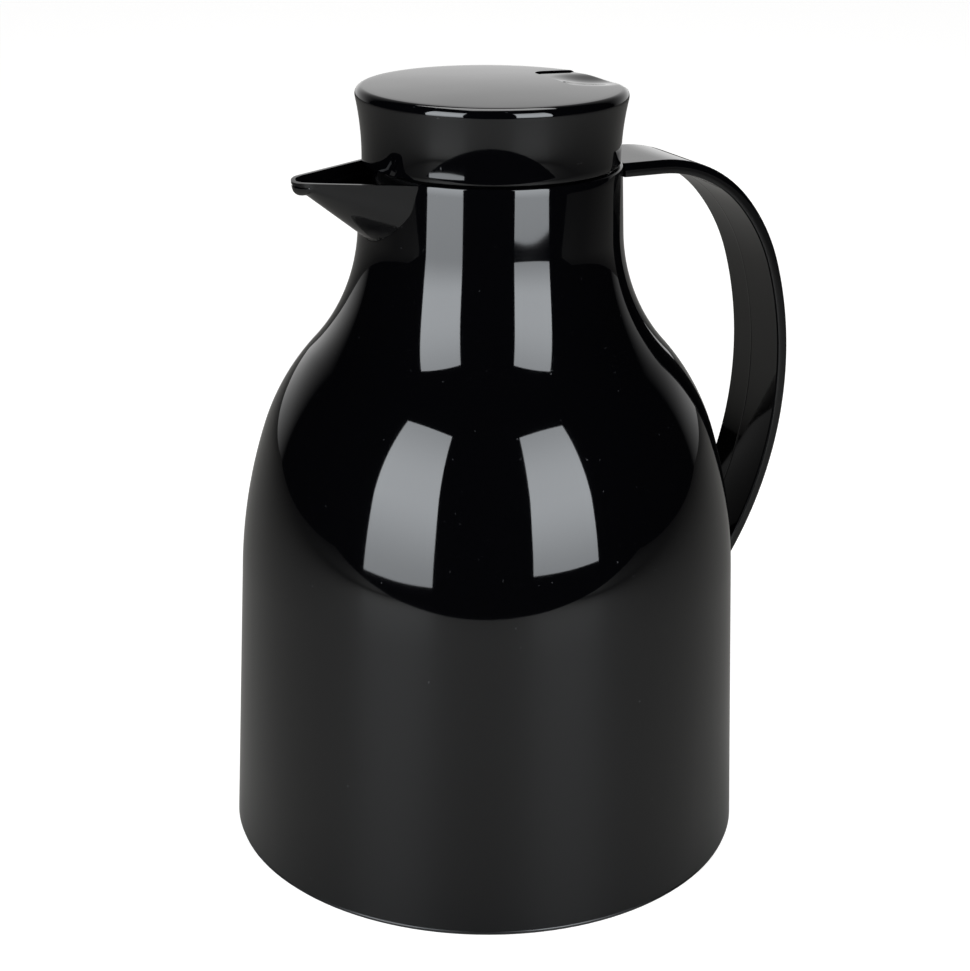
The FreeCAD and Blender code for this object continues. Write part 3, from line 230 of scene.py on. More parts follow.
# %% [markdown]
# Every piece is drawn in millimetres and becomes an object in metres. Its points are merged and its faces
# turned outwards, so that it is one closed skin. It is shaded smooth, with edges above a given angle kept
# sharp, and tied to the CAD body that it moves with.

# %% Finished pieces
MERGE = 0.001


def mesh_of(name, verts, faces):
    """A mesh from points in millimetres."""
    mesh = bpy.data.meshes.new(name)
    mesh.from_pydata([Vector(v) * MM for v in verts], [], faces)
    return mesh


def close_up(mesh):
    """Merges points that coincide and turns the faces outwards."""
    skin = bmesh.new()
    skin.from_mesh(mesh)
    bmesh.ops.remove_doubles(skin, verts=skin.verts, dist=MERGE * MM)
    bmesh.ops.recalc_face_normals(skin, faces=skin.faces)
    skin.to_mesh(mesh)
    skin.free()


def linked(name, mesh):
    """An object in the scene for a mesh."""
    piece = bpy.data.objects.new(name, mesh)
    bpy.context.scene.collection.objects.link(piece)
    return piece


def finish_piece(name, mesh, material, body, nodes, sharp):
    """A smooth piece that rides on a body and stands for CAD nodes."""
    close_up(mesh)
    mesh.shade_smooth()
    mesh.set_sharp_from_angle(angle=math.radians(sharp))
    mesh.materials.clear()
    mesh.materials.append(material)
    piece = linked(name, mesh)
    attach(piece, body)
    if nodes:
        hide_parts(*nodes)
    print(name, len(mesh.polygons), "faces")
    return piece


print("points closer than", MERGE, "mm are merged")

# %% [markdown]
# Most of the jug is turned, as on a lathe: an outline of radius and height, spun about the jug's axis.
# Blender's Screw modifier could spin it, but written out, the outline's points stay where the arcs put
# them. Corners can be rounded, because no moulded edge is perfectly sharp and the round is what catches the
# light.

# %% Turned pieces
ROUND_STEPS, ON_AXIS = 4, 1e-9


def soften(corners):
    """Outline points from corners (x, y, radius): each corner with a radius is rounded."""
    points = []
    for i, (x, y, radius) in enumerate(corners):
        here = Vector((x, y))
        if radius <= 0:
            points.append((x, y))
            continue
        back = (Vector(corners[i - 1][:2]) - here).normalized()
        ahead = (Vector(corners[(i + 1) % len(corners)][:2]) - here).normalized()
        half = back.angle(ahead) / 2
        centre = here + (back + ahead).normalized() * radius / math.sin(half)
        first = here + back * radius / math.tan(half) - centre
        last = here + ahead * radius / math.tan(half) - centre
        sweep = first.angle_signed(last)
        for k in range(ROUND_STEPS + 1):
            turn = -sweep * k / ROUND_STEPS
            c, s = math.cos(turn), math.sin(turn)
            points.append((centre.x + c * first.x - s * first.y, centre.y + s * first.x + c * first.y))
    return points


def spun(outline, segments):
    """Vertices and faces of a closed outline (radius, height) spun about the vertical axis."""
    count = len(outline)
    verts, faces = [], []
    for k in range(segments):
        c, s = math.cos(math.tau * k / segments), math.sin(math.tau * k / segments)
        verts += [(r * c, r * s, z) for r, z in outline]
    for k in range(segments):
        a, b = k * count, (k + 1) % segments * count
        for i in range(count):
            j = (i + 1) % count
            ring = [a + i, b + i, b + j, a + j]
            if outline[i][0] < ON_AXIS and outline[j][0] < ON_AXIS:
                continue
            if outline[i][0] < ON_AXIS:
                ring = [a + i, b + j, a + j]
            elif outline[j][0] < ON_AXIS:
                ring = [a + i, b + i, a + j]
            faces.append(ring)
    return verts, faces


print("a rounded corner has", ROUND_STEPS + 1, "points")

# %% [markdown]
# The rest is lofted: loops of points with equal counts are joined into one skin and closed at both ends. A
# loft can follow any path and change its section on the way, which a plain extrusion can't. Turned and
# lofted blocks are then cut from each other or joined by Blender's exact Boolean, as a tool leaves its
# shape in metal.

# %% Lofts, cuts and unions
def lofted(sections):
    """A closed block through loops of points with equal counts."""
    verts = [v for loop in sections for v in loop]
    count = len(sections[0])
    faces = []
    for k in range(len(sections) - 1):
        for i in range(count):
            j = (i + 1) % count
            faces.append([k * count + i, k * count + j, (k + 1) * count + j, (k + 1) * count + i])
    faces.append(list(range(count))[::-1])
    faces.append([(len(sections) - 1) * count + i for i in range(count)])
    return verts, faces


def upright_block(outline, low, high):
    """An outline (x, y) pushed along z."""
    return lofted([[(x, y, z) for x, y in outline] for z in (low, high)])


def sideways_block(outline, low, high):
    """An outline (x, z) pushed along y."""
    return lofted([[(x, y, z) for x, z in outline] for y in (low, high)])


def block(name, verts, faces):
    """An object for a closed block that is cut, or cuts another, and doesn't stay."""
    mesh = mesh_of(name, verts, faces)
    close_up(mesh)
    return linked(name, mesh)


def combined(piece, operation, tool):
    """Mesh of a piece after a block is cut from it or joined to it. Both objects are used up."""
    step = piece.modifiers.new("step", "BOOLEAN")
    step.operation, step.solver, step.object = operation, "EXACT", tool
    graph = bpy.context.evaluated_depsgraph_get()
    mesh = bpy.data.meshes.new_from_object(piece.evaluated_get(graph))
    for used in (piece, tool):
        bpy.data.objects.remove(used)
    return mesh


print("a lofted box has", len(upright_block([(0, 0), (1, 0), (1, 1), (0, 1)], 0, 1)[1]), "faces")

# %% [markdown]
# The shell is a bell: a straight lower wall with a little draft, a long flank, a round shoulder, a hollow
# curve and a neck that widens a little downwards. A rough outline under a Subdivision Surface would be
# quick, but it pulls away from the sizes that it is given. Here the arcs are worked out so that each meets
# the next tangentially, and the lamps' reflections run over the shell without a kink.

# %% Outline of the bell
FOOT_LINE, RIM = [corner[2] for corner in cad_corners("body_shell")]
NECK, NECK_START, NECK_CONE = 41.4, 206.92, math.radians(2.5)
NECK_FOOT = NECK + (RIM - NECK_START) * math.tan(NECK_CONE)
SWEEP, SHOULDER, FLANK = 62.0, 75.01, 175.8
LEANS = [math.radians(a) for a in (42.0, 17.9, 2.69)]
SHELL_WALL, RIM_ROUND = 2.4, 0.5
WALL_STEPS, ARC_STEPS, NECK_STEPS = 12, 40, 8


def bell_centres():
    """Centres of the hollow, the shoulder and the flank."""
    hollow = (NECK_FOOT + SWEEP * math.cos(NECK_CONE), NECK_START + SWEEP * math.sin(NECK_CONE))
    x, z = hollow[0] - SWEEP * math.cos(LEANS[0]), hollow[1] - SWEEP * math.sin(LEANS[0])
    shoulder = (x - SHOULDER * math.cos(LEANS[0]), z - SHOULDER * math.sin(LEANS[0]))
    x, z = shoulder[0] + SHOULDER * math.cos(LEANS[1]), shoulder[1] + SHOULDER * math.sin(LEANS[1])
    flank = (x - FLANK * math.cos(LEANS[1]), z - FLANK * math.sin(LEANS[1]))
    return hollow, shoulder, flank


def bell(depth):
    """Points of the bell from the lower edge to the start of the neck, moved into the wall by depth."""
    hollow, shoulder, flank = bell_centres()
    end = (flank[0] + (FLANK - depth) * math.cos(LEANS[2]), flank[1] + (FLANK - depth) * math.sin(LEANS[2]))
    points = []
    for k in range(WALL_STEPS + 1):
        z = FOOT_LINE + (end[1] - FOOT_LINE) * k / WALL_STEPS
        points.append((end[0] + (end[1] - z) * math.tan(LEANS[2]), z))
    arcs = ((flank, FLANK - depth, LEANS[2], LEANS[1]), (shoulder, SHOULDER - depth, LEANS[1], LEANS[0]),
            (hollow, -SWEEP - depth, LEANS[0], NECK_CONE))
    for centre, radius, low, high in arcs:
        for k in range(1, ARC_STEPS + 1):
            a = low + (high - low) * k / ARC_STEPS
            points.append((centre[0] + radius * math.cos(a), centre[1] + radius * math.sin(a)))
    return points


def bell_radius(z):
    """Outer radius of the straight lower wall."""
    low = bell(0)[0]
    return low[0] - (z - low[1]) * math.tan(LEANS[2])


print("shell radius at the foot", round(bell(0)[0][0], 2), "mm")

# %% [markdown]
# The spout is a V seen from above and a round-bottomed trough seen from the front, with a rim that dips a
# little at the tip. It could be sculpted, but a loft through sections stays even on both sides. Each
# section has slanting sides, round corners and a shallow round floor. The same rule draws the outer skin,
# the channel inside and the cut in the shell that the spout comes through.

# %% Sections of the spout
SPOUT_TOP = RIM - 0.5
ROOT_AT, ROOT_HALF, ROOT_DEPTH = 36.0, 21.6, 25.4
LIP_AT, LIP_HALF, LIP_DEPTH = 62.4, 7.0, 4.7
REACH, TIP_DEPTH, TIP_ROUND, TIP_DIP, TIP_LEAST = 66.6, 3.55, 1.6, 0.45, 0.2
SPOUT_WALL, SIDE_SLANT, BEAD = 1.3, 0.12, 0.4
SIDE_SHARE, CORNER_BY_DEPTH, CORNER_BY_HALF, DEEPEST_BY_HALF = 0.27, 0.6, 0.55, 1.4
V_SLOPE = (ROOT_HALF - LIP_HALF) / (LIP_AT - ROOT_AT)
V_LONG = math.sqrt(1 + V_SLOPE ** 2)
TIP_RADIUS = (LIP_HALF - (REACH - LIP_AT) * V_SLOPE) / (V_LONG - V_SLOPE)
TIP_CENTRE = REACH - TIP_RADIUS


def spout_rim(u):
    """Height of the spout's rim, which dips a little at the tip."""
    return SPOUT_TOP - TIP_DIP * max(0.0, (u - LIP_AT) / (REACH - LIP_AT)) ** 2


def spout_size(u, grow):
    """Half width and depth of the spout at a distance from the axis, made larger by grow."""
    half = LIP_HALF + (LIP_AT - u) * V_SLOPE + grow
    if u < LIP_AT:
        depth = LIP_DEPTH + (LIP_AT - u) * (ROOT_DEPTH - LIP_DEPTH) / (LIP_AT - ROOT_AT)
    else:
        share = (u - LIP_AT) / (REACH - LIP_AT)
        depth = LIP_DEPTH - share * (LIP_DEPTH - TIP_DEPTH) + BEAD * math.sin(math.pi * share) ** 2
    past = u - (REACH - TIP_ROUND)
    if past > 0:
        depth -= TIP_ROUND - math.sqrt(max(TIP_ROUND ** 2 - past ** 2, 0))
    radius = TIP_RADIUS + grow
    if u > TIP_CENTRE + radius * V_SLOPE / V_LONG:
        half = min(half, math.sqrt(max(radius ** 2 - (u - TIP_CENTRE) ** 2, TIP_LEAST ** 2)))
    return half, min(depth + grow, DEEPEST_BY_HALF * half)


print("tip radius", round(TIP_RADIUS, 2), "mm")

# %% Spout as a block
CORNER_STEPS, SPOUT_PARTS = 10, 26


def trough(u, grow, rise):
    """Points (y, z) across the spout from one rim, round the floor, to the other."""
    half, depth = spout_size(u, grow)
    level = spout_rim(u)
    top, sides, floor = level + rise, level - SIDE_SHARE * depth, level - depth
    deep = sides - floor
    corner = min(deep * CORNER_BY_DEPTH, half * CORNER_BY_HALF)
    reach = half - corner
    base = (reach ** 2 + deep ** 2 - corner ** 2) / (2 * (deep - corner))
    tangent = math.atan2(reach, floor + base - sides)
    points = [(-half, top), (-half, (top + sides) / 2)]
    for k in range(CORNER_STEPS + 1):
        a = math.pi / 2 - (math.pi / 2 - tangent) * k / CORNER_STEPS
        points.append((-reach - corner * math.sin(a), sides - corner * math.cos(a)))
    side = len(points)
    for k in range(1, CORNER_STEPS * 2):
        a = -tangent + tangent * k / CORNER_STEPS
        points.append((base * math.sin(a), floor + base - base * math.cos(a)))
    points += [(-y, z) for y, z in reversed(points[:side])]
    return [(y * (1 - SIDE_SLANT * max(SPOUT_TOP - z, 0) / half), z) for y, z in points]


def spout_block(grow, rise, start, stop):
    """The spout's block between two distances, closed at a rise above its rim and finer at the tip."""
    loops = []
    for k in range(SPOUT_PARTS + 1):
        share = k / SPOUT_PARTS
        if stop > TIP_CENTRE:
            share = 1 - (1 - share) ** 2
        u = start + (stop - start) * share
        loops.append([(-u, y, z) for y, z in trough(u, grow, rise)])
    return lofted(loops)


print("a section of the spout has", len(trough(ROOT_AT, 0, 0)), "points")

# %% [markdown]
# The shell itself: the bell's outside, the neck, a rounded rim and the same bell again inside the wall,
# turned as one closed outline. The opening for the spout is cut from it afterwards, a hair wider than the
# spout, so that the two pieces meet in a fine joint as the real mouldings do.

# %% Shell
SPOUT_GAP, ROOT_TAIL, ABOVE, SHORT_OF_TIP = 0.15, 4.0, 5.0, 10.0
SHELL_SEGMENTS, EDGE_ANGLE, SOFT_EDGE_ANGLE = 288, 30, 40


def make_shell():
    rim = soften([(NECK_FOOT, NECK_START, 0), (NECK, RIM, RIM_ROUND), (NECK - SHELL_WALL, RIM, RIM_ROUND),
                  (NECK_FOOT - SHELL_WALL, NECK_START, 0)])[1:-1]
    shares = [k / NECK_STEPS for k in range(1, NECK_STEPS)]
    neck = [(NECK_FOOT + (NECK - NECK_FOOT) * s, NECK_START + (RIM - NECK_START) * s) for s in shares]
    outline = bell(0) + neck + rim + bell(SHELL_WALL)[::-1]
    blank = block("shell_blank", *spun(outline, SHELL_SEGMENTS))
    opening = spout_block(SPOUT_GAP, ABOVE, ROOT_AT - ROOT_TAIL - SPOUT_GAP, REACH - SHORT_OF_TIP)
    mesh = combined(blank, "DIFFERENCE", block("opening", *opening))
    finish_piece("bell_shell", mesh, GLOSSY_BLACK, "jug", ["body_shell"], EDGE_ANGLE)


make_shell()

# %% [markdown]
# The pouring collar stands inside the neck and carries the spout. On the real jug it is one moulding, so
# the spout's block is joined to a turned ring first, and then the channel, the groove and the bore are cut
# out of both. The thin groove under the tip parts the pouring edge from the drip bead below it.

# %% Collar and spout
COLLAR, COLLAR_FOOT = cad_corners("pour_collar")[1][0], cad_corners("pour_collar")[0][2]
COLLAR_TOP, BORE, FLOOR, MOUTH = RIM - 1.9, 36.7, 199.7, 28.5
GROOVE_TOP, GROOVE_BED, GROOVE_FOOT, GROOVE_DEEP, GROOVE_OUT = 1.0, (1.45, 1.7), 2.4, 1.0, 1.0
GROOVE_TURN, GROOVE_FADE, GROOVE_STEPS = math.radians(62), math.radians(88), 24
COLLAR_SEGMENTS, CHANNEL_TAIL, TIP_WALL_SHARE = 192, 1.0, 0.9


def drip_groove():
    """A thin crescent round the tip that runs out towards both sides."""
    loops = []
    for k in range(GROOVE_STEPS + 1):
        share = 2 * k / GROOVE_STEPS - 1
        a = GROOVE_TURN * share
        outer, inner = TIP_RADIUS + GROOVE_OUT, TIP_RADIUS - GROOVE_DEEP * math.cos(GROOVE_FADE * share)
        section = ((outer, GROOVE_TOP), (inner, GROOVE_BED[0]), (inner, GROOVE_BED[1]), (outer, GROOVE_FOOT))
        loops.append([(-TIP_CENTRE - r * math.cos(a), r * math.sin(a), SPOUT_TOP - drop)
                      for r, drop in section])
    return lofted(loops)


def make_collar():
    ring = soften([(MOUTH, COLLAR_FOOT, 0.3), (COLLAR, COLLAR_FOOT, 0.3), (COLLAR, COLLAR_TOP, 0.4),
                   (BORE, COLLAR_TOP, 0.4), (BORE, FLOOR, 0.6), (MOUTH, FLOOR, 0.3)])
    bore = [(0, FLOOR), (BORE, FLOOR), (BORE, RIM + ABOVE), (0, RIM + ABOVE)]
    channel = spout_block(-SPOUT_WALL, ABOVE, ROOT_AT - ROOT_TAIL - CHANNEL_TAIL,
                          REACH - SPOUT_WALL * TIP_WALL_SHARE)
    mesh = combined(block("ring", *spun(ring, COLLAR_SEGMENTS)), "UNION",
                    block("spout", *spout_block(0, 0, ROOT_AT - ROOT_TAIL, REACH)))
    for cutter in (channel, drip_groove(), spun(bore, COLLAR_SEGMENTS)):
        mesh = combined(linked("collar_blank", mesh), "DIFFERENCE", block("cutter", *cutter))
    finish_piece("pouring_collar", mesh, GLOSSY_BLACK, "jug", ["pour_collar"], EDGE_ANGLE)


make_collar()

# %% [markdown]
# The handle is one strap of even width, thicker at the arm than at the grip: an arm out of the neck, two
# bends and a long grip that lands on the lower wall. A curve with a bevel could draw it, but only with one
# thickness, so each cross section is placed along three arcs and the sections are lofted. A section is a
# rectangle with rounded corners, flat points beside them that keep the flat faces' shading flat, and the
# faint line that the two halves of the mould leave inside the grip. Its ends run into the shell's wall.

# %% Course of the handle
ARM_TOP, ARM_LENGTH, ARM_SUNK, ARM_STEPS = RIM - 1.1, 54.2, 1.2, 4
BENDS = ((44.7, 48.0), (65.6, 72.0))
LANDING, TONGUE, STATION = 76.5, 2.6, 2.5


def arc_stations(x, z, lean, radius, stop):
    """Stations of an arc that carries on from a point and its lean."""
    centre = (x - radius * math.sin(lean), z - radius * math.cos(lean))
    count = int(radius * (stop - lean) / STATION)
    angles = [lean + (stop - lean) * k / count for k in range(1, count + 1)]
    return [(centre[0] + radius * math.sin(a), centre[1] + radius * math.cos(a), a) for a in angles]


def strap_stations():
    """Outer points of the strap with their lean from upright, from the neck to the landing."""
    start = NECK - ARM_SUNK
    stations = [(start + (ARM_LENGTH - start) * k / ARM_STEPS, ARM_TOP, 0.0) for k in range(ARM_STEPS + 1)]
    for radius, end in BENDS:
        stations += arc_stations(*stations[-1], radius, math.radians(end))
    x, z, lean = stations[-1]
    dx, dz = x - bell_radius(LANDING), z - LANDING
    radius = (dx * dx + dz * dz) / (2 * (dx * math.sin(lean) + dz * math.cos(lean)))
    stop = math.acos(math.cos(lean) - dz / radius) + TONGUE / radius
    return stations + arc_stations(x, z, lean, radius, stop)


print("the handle has", len(strap_stations()), "stations")

# %% Handle
ARM_THICK, GRIP_THICK, STRAP_WIDTH, STRAP_ROUND, FLAT_BESIDE = 4.6, 3.6, 28.8, 0.7, 0.2
MOULD_LINE, MOULD_HALF, MOULD_HIGH = 2.8, 0.2, 0.06


def strap_section(thick):
    """Points across the strap and through its thickness, from the inner face outwards."""
    half = STRAP_WIDTH / 2
    flat = half - STRAP_ROUND - FLAT_BESIDE
    line = [(MOULD_LINE + MOULD_HALF * side, -high, 0)
            for side, high in ((-3, 0), (-1, 0), (0, MOULD_HIGH), (1, 0), (3, 0))]
    return soften([(-half, 0, STRAP_ROUND), (-flat, 0, 0), *line, (flat, 0, 0), (half, 0, STRAP_ROUND),
                   (half, thick, STRAP_ROUND), (flat, thick, 0), (-flat, thick, 0),
                   (-half, thick, STRAP_ROUND)])


def make_handle():
    mean = (ARM_THICK + GRIP_THICK) / 2
    loops = []
    for x, z, lean in strap_stations():
        out = (mean * math.sin(lean) + GRIP_THICK - mean, mean * math.cos(lean) + ARM_THICK - mean)
        thick = math.hypot(*out)
        loops.append([(x - out[0] * (1 - t / thick), y, z - out[1] * (1 - t / thick))
                      for y, t in strap_section(thick)])
    mesh = mesh_of("strap_handle", *lofted(loops))
    finish_piece("strap_handle", mesh, GLOSSY_BLACK, "jug", ["handle"], SOFT_EDGE_ANGLE)


make_handle()

# %% [markdown]
# The lid is a turned cap: an upright band, a side that flares out in one hollow curve, a rounded edge and a
# shallow dome. A bevelled cylinder would come close, but the two lamps run along the rounded edge as thin
# bright lines, and they need its true arc. The lever's slot is cut through the rear of the top and side.

# %% Outline of the lid
LID_BASE, LID, LID_BORE = cad_corners("lid_shell")[0][2], 40.8, 38.6
LID_BAND, LID_ROUND, FLARE_UP, FLARE_RADIUS = 1.9, 0.4, 20.2, 89.0
EDGE_ROUND, DOME_SLOPE = 2.5, math.radians(2.0)
FLARE_STEPS, EDGE_STEPS, DOME_STEPS = 24, 14, 20


def lid_side():
    """Lid's outer outline from its lower edge to the top of the dome, with the places of edge and dome."""
    points = soften([(LID_BORE, LID_BASE, 0), (LID, LID_BASE, LID_ROUND), (LID, LID_BASE + LID_BAND, 0)])[1:]
    lean = math.asin((FLARE_UP - LID_BAND) / FLARE_RADIUS)
    flare_x, flare_z = LID + FLARE_RADIUS, LID_BASE + LID_BAND
    for k in range(1, FLARE_STEPS + 1):
        a = lean * k / FLARE_STEPS
        points.append((flare_x - FLARE_RADIUS * math.cos(a), flare_z + FLARE_RADIUS * math.sin(a)))
    x, z = points[-1]
    edge_x, edge_z = x - EDGE_ROUND * math.cos(lean), z + EDGE_ROUND * math.sin(lean)
    for k in range(1, EDGE_STEPS + 1):
        a = (math.pi / 2 - DOME_SLOPE + lean) * k / EDGE_STEPS - lean
        points.append((edge_x + EDGE_ROUND * math.cos(a), edge_z + EDGE_ROUND * math.sin(a)))
    dome_edge = points[-1]
    dome = dome_edge[0] / math.sin(DOME_SLOPE)
    apex = dome_edge[1] + dome * (1 - math.cos(DOME_SLOPE))
    for k in range(1, DOME_STEPS + 1):
        a = DOME_SLOPE * (1 - k / DOME_STEPS)
        points.append((dome * math.sin(a), apex - dome * (1 - math.cos(a))))
    return points, (edge_x, edge_z, dome_edge[0], dome, apex)


LID_OUTLINE, (EDGE_X, EDGE_Z, DOME_EDGE, DOME, APEX) = lid_side()
print("top of the lid", round(APEX, 2), "mm")

# %% Lid
CEILING, LEDGE, LEDGE_THICK, CHAMFER = LID_BASE + 20.1, 36.8, 2.2, 0.8
STOPPER_TOP = cad_corners("stopper_body")[1][2]
SLOT_HALF, SLOT_START, SLOT_CORNER, SLOT_DEEP, SLOT_END = 17.5, 22.0, 5.0, 8.95, 55.0
SLOT_STEPS, LID_SEGMENTS = 8, 240


def slot_outline():
    """The lever's slot seen from above, open past the lid's side."""
    points = [(SLOT_END, -SLOT_HALF), (SLOT_END, SLOT_HALF)]
    along, side = SLOT_START + SLOT_CORNER, SLOT_HALF - SLOT_CORNER
    for quarter, across in ((1, side), (2, -side)):
        for k in range(SLOT_STEPS + 1):
            a = math.pi / 2 * (quarter + k / SLOT_STEPS)
            points.append((along + SLOT_CORNER * math.cos(a), across + SLOT_CORNER * math.sin(a)))
    return points


def make_lid():
    ledge_top = STOPPER_TOP + LEDGE_THICK
    inside = [(0, CEILING), (LID_BORE - CHAMFER, CEILING), (LID_BORE, CEILING - CHAMFER),
              (LID_BORE, ledge_top), (LEDGE, ledge_top), (LEDGE, STOPPER_TOP), (LID_BORE, STOPPER_TOP),
              (LID_BORE, LID_BASE)]
    blank = block("lid_blank", *spun(LID_OUTLINE + inside, LID_SEGMENTS))
    slot = upright_block(slot_outline(), APEX - SLOT_DEEP, APEX + ABOVE)
    mesh = combined(blank, "DIFFERENCE", block("slot", *slot))
    finish_piece("screw_lid", mesh, GLOSSY_BLACK, "lid", ["lid_shell"], EDGE_ANGLE)


make_lid()

# %% [markdown]
# The thumb lever's pad follows the lid's dome a little lower and has a shallow dish for the thumb. It could
# be cut from the lid, but a dish needs a fine surface, so it is a grid between the slot's inner end and the
# lid's rim, with finer steps and rolled edges all round.

# %% Pad of the thumb lever
PAD_DROP, PAD_BASE, DISH_RADIUS, DISH_DEPTH, DISH_PLACE = 0.5, CEILING - 0.95, 13.0, 1.1, 0.52
PAD_NEAR, PAD_HALF, PAD_CORNER, PAD_REAR = 22.3, 17.2, 4.7, EDGE_X + EDGE_ROUND
PAD_STEPS, PAD_ROLL, PAD_LEAST = 48, 0.25, 0.02


def pad_height(x, y):
    """Height of the pad's face: the lid's dome, rim round and finger dish."""
    r = math.hypot(x, y)
    if r < DOME_EDGE:
        z = APEX - DOME + math.sqrt(DOME ** 2 - r * r)
    else:
        z = EDGE_Z + math.sqrt(max(EDGE_ROUND ** 2 - (r - EDGE_X) ** 2, 0.0))
    from_dish = math.hypot(x - (PAD_NEAR + PAD_REAR) * DISH_PLACE, y) / DISH_RADIUS
    dish = DISH_DEPTH * (1 - from_dish ** 2) ** 2 if from_dish < 1 else 0.0
    return z - PAD_DROP - dish


def pad_face():
    """Grid of points on the pad's face, with its near corners rounded and its edges rolled over."""
    spread = [(1 - math.cos(math.pi * k / PAD_STEPS)) / 2 for k in range(PAD_STEPS + 1)]
    points = []
    for across in spread:
        y = PAD_HALF * (2 * across - 1)
        past = max(abs(y) - (PAD_HALF - PAD_CORNER), 0)
        near = PAD_NEAR + PAD_CORNER - math.sqrt(max(PAD_CORNER ** 2 - past ** 2, 0))
        rear = math.sqrt(PAD_REAR ** 2 - y * y)
        for along in spread:
            x = near + (rear - near) * along
            inset = min(PAD_HALF - abs(y), x - near, PAD_ROLL)
            lower = PAD_ROLL - math.sqrt(PAD_ROLL ** 2 - (PAD_ROLL - inset) ** 2)
            points.append((x, y, max(pad_height(x, y) - lower, PAD_BASE + PAD_LEAST)))
    return points


def pad_block():
    """The pad's face, its flat base and the walls between them."""
    verts, faces = pad_face(), []
    base, width = len(verts), PAD_STEPS + 1
    verts += [(x, y, PAD_BASE) for x, y, z in verts]
    for j in range(PAD_STEPS):
        for i in range(PAD_STEPS):
            a = j * width + i
            faces.append([a, a + 1, a + width + 1, a + width])
            faces.append([base + a, base + a + width, base + a + width + 1, base + a + 1])
    border = list(range(PAD_STEPS)) + [j * width + PAD_STEPS for j in range(PAD_STEPS)]
    border += [PAD_STEPS * width + i for i in range(PAD_STEPS, 0, -1)]
    border += [j * width for j in range(PAD_STEPS, 0, -1)]
    for a, b in zip(border, border[1:] + border[:1]):
        faces.append([a, base + a, base + b, b])
    return verts, faces


print("pad's height at its middle", round(pad_height((PAD_NEAR + PAD_REAR) / 2, 0), 2), "mm")

# %% [markdown]
# Below the pad hang the hub that turns on the pin, the fork that lifts the valve's stem, and the apron that
# closes the slot in the lid's side. They are straight extrusions, as a mould's slides leave them, and they
# reach a little into the pad.

# %% Thumb lever
PIVOT_X, PIVOT_Z = [JOINTS["lever_press"]["pos_m"][i] / MM for i in (0, 2)]
HUB, WEB_HALF, INTO_PAD = 3.6, 12.0, 0.6
WEB_NEAR, WEB_REAR, WEB_LOW, WEB_TOP = PAD_NEAR + 0.2, PAD_NEAR + HUB * 2, PAD_BASE - HUB * 0.3, CEILING - 0.3
NOSE, NOSE_END, FORK_SIDES = 1.5, 3.0, (3.2, 7.5)
FORK_TOP, FORK_ROOT, FORK_HEEL, FORK_FOOT = 0.45, 1.0, 1.8, HUB * 0.8
APRON_OUT, APRON_IN, APRON_TALL, APRON_STEPS = 37.7, 35.7, 5.8, 24
HUB_STEPS, NOSE_STEPS = 16, 18


def lever_hub():
    """Half a round hub and the web that carries the pad."""
    angles = [math.pi * k / HUB_STEPS for k in range(HUB_STEPS + 1)]
    hub = [(PIVOT_X - HUB * math.sin(a), PIVOT_Z + HUB * math.cos(a)) for a in angles]
    web = [(WEB_REAR, WEB_LOW), (WEB_REAR, PAD_BASE + INTO_PAD), (WEB_NEAR, PAD_BASE + INTO_PAD),
           (WEB_NEAR, WEB_TOP)]
    return sideways_block(hub + web, -WEB_HALF, WEB_HALF)


def lever_fork():
    """Two prongs with round noses, one each side of the valve's stem."""
    angles = [math.pi * 1.5 * (1 - k / NOSE_STEPS) for k in range(NOSE_STEPS + 1)]
    prong = [(NOSE * math.cos(a), PIVOT_Z + NOSE * math.sin(a)) for a in angles]
    root = PIVOT_X - FORK_ROOT
    prong += [(NOSE_END, PIVOT_Z + FORK_TOP), (PIVOT_X - HUB, PIVOT_Z + FORK_TOP),
              (root, PIVOT_Z + FORK_HEEL), (root, PIVOT_Z - FORK_FOOT)]
    near, far = FORK_SIDES
    return [sideways_block(prong, near, far), sideways_block(prong, -far, -near)]


def lever_apron():
    """A curved wall under the pad's rear."""
    outline = []
    for radius, order in ((APRON_OUT, 1), (APRON_IN, -1)):
        half = math.asin(PAD_HALF / radius)
        sweep = [half * (2 * k / APRON_STEPS - 1) * order for k in range(APRON_STEPS + 1)]
        outline += [(radius * math.cos(a), radius * math.sin(a)) for a in sweep]
    return upright_block(outline, PAD_BASE - APRON_TALL, PAD_BASE + INTO_PAD)


def make_lever():
    verts, faces = pad_block()
    for more_verts, more_faces in (lever_hub(), *lever_fork(), lever_apron()):
        start = len(verts)
        verts += more_verts
        faces += [[start + i for i in face] for face in more_faces]
    finish_piece("thumb_pad", mesh_of("thumb_pad", verts, faces), GLOSSY_BLACK, "lever", ["thumb_lever"],
                 EDGE_ANGLE)


make_lever()

# %% [markdown]
# The pieces inside keep their CAD shape, because nobody sees them close. Those that show when the lid is
# off or the jug is turned over get a smooth-shaded copy of their CAD mesh, and the rest just take a
# material.

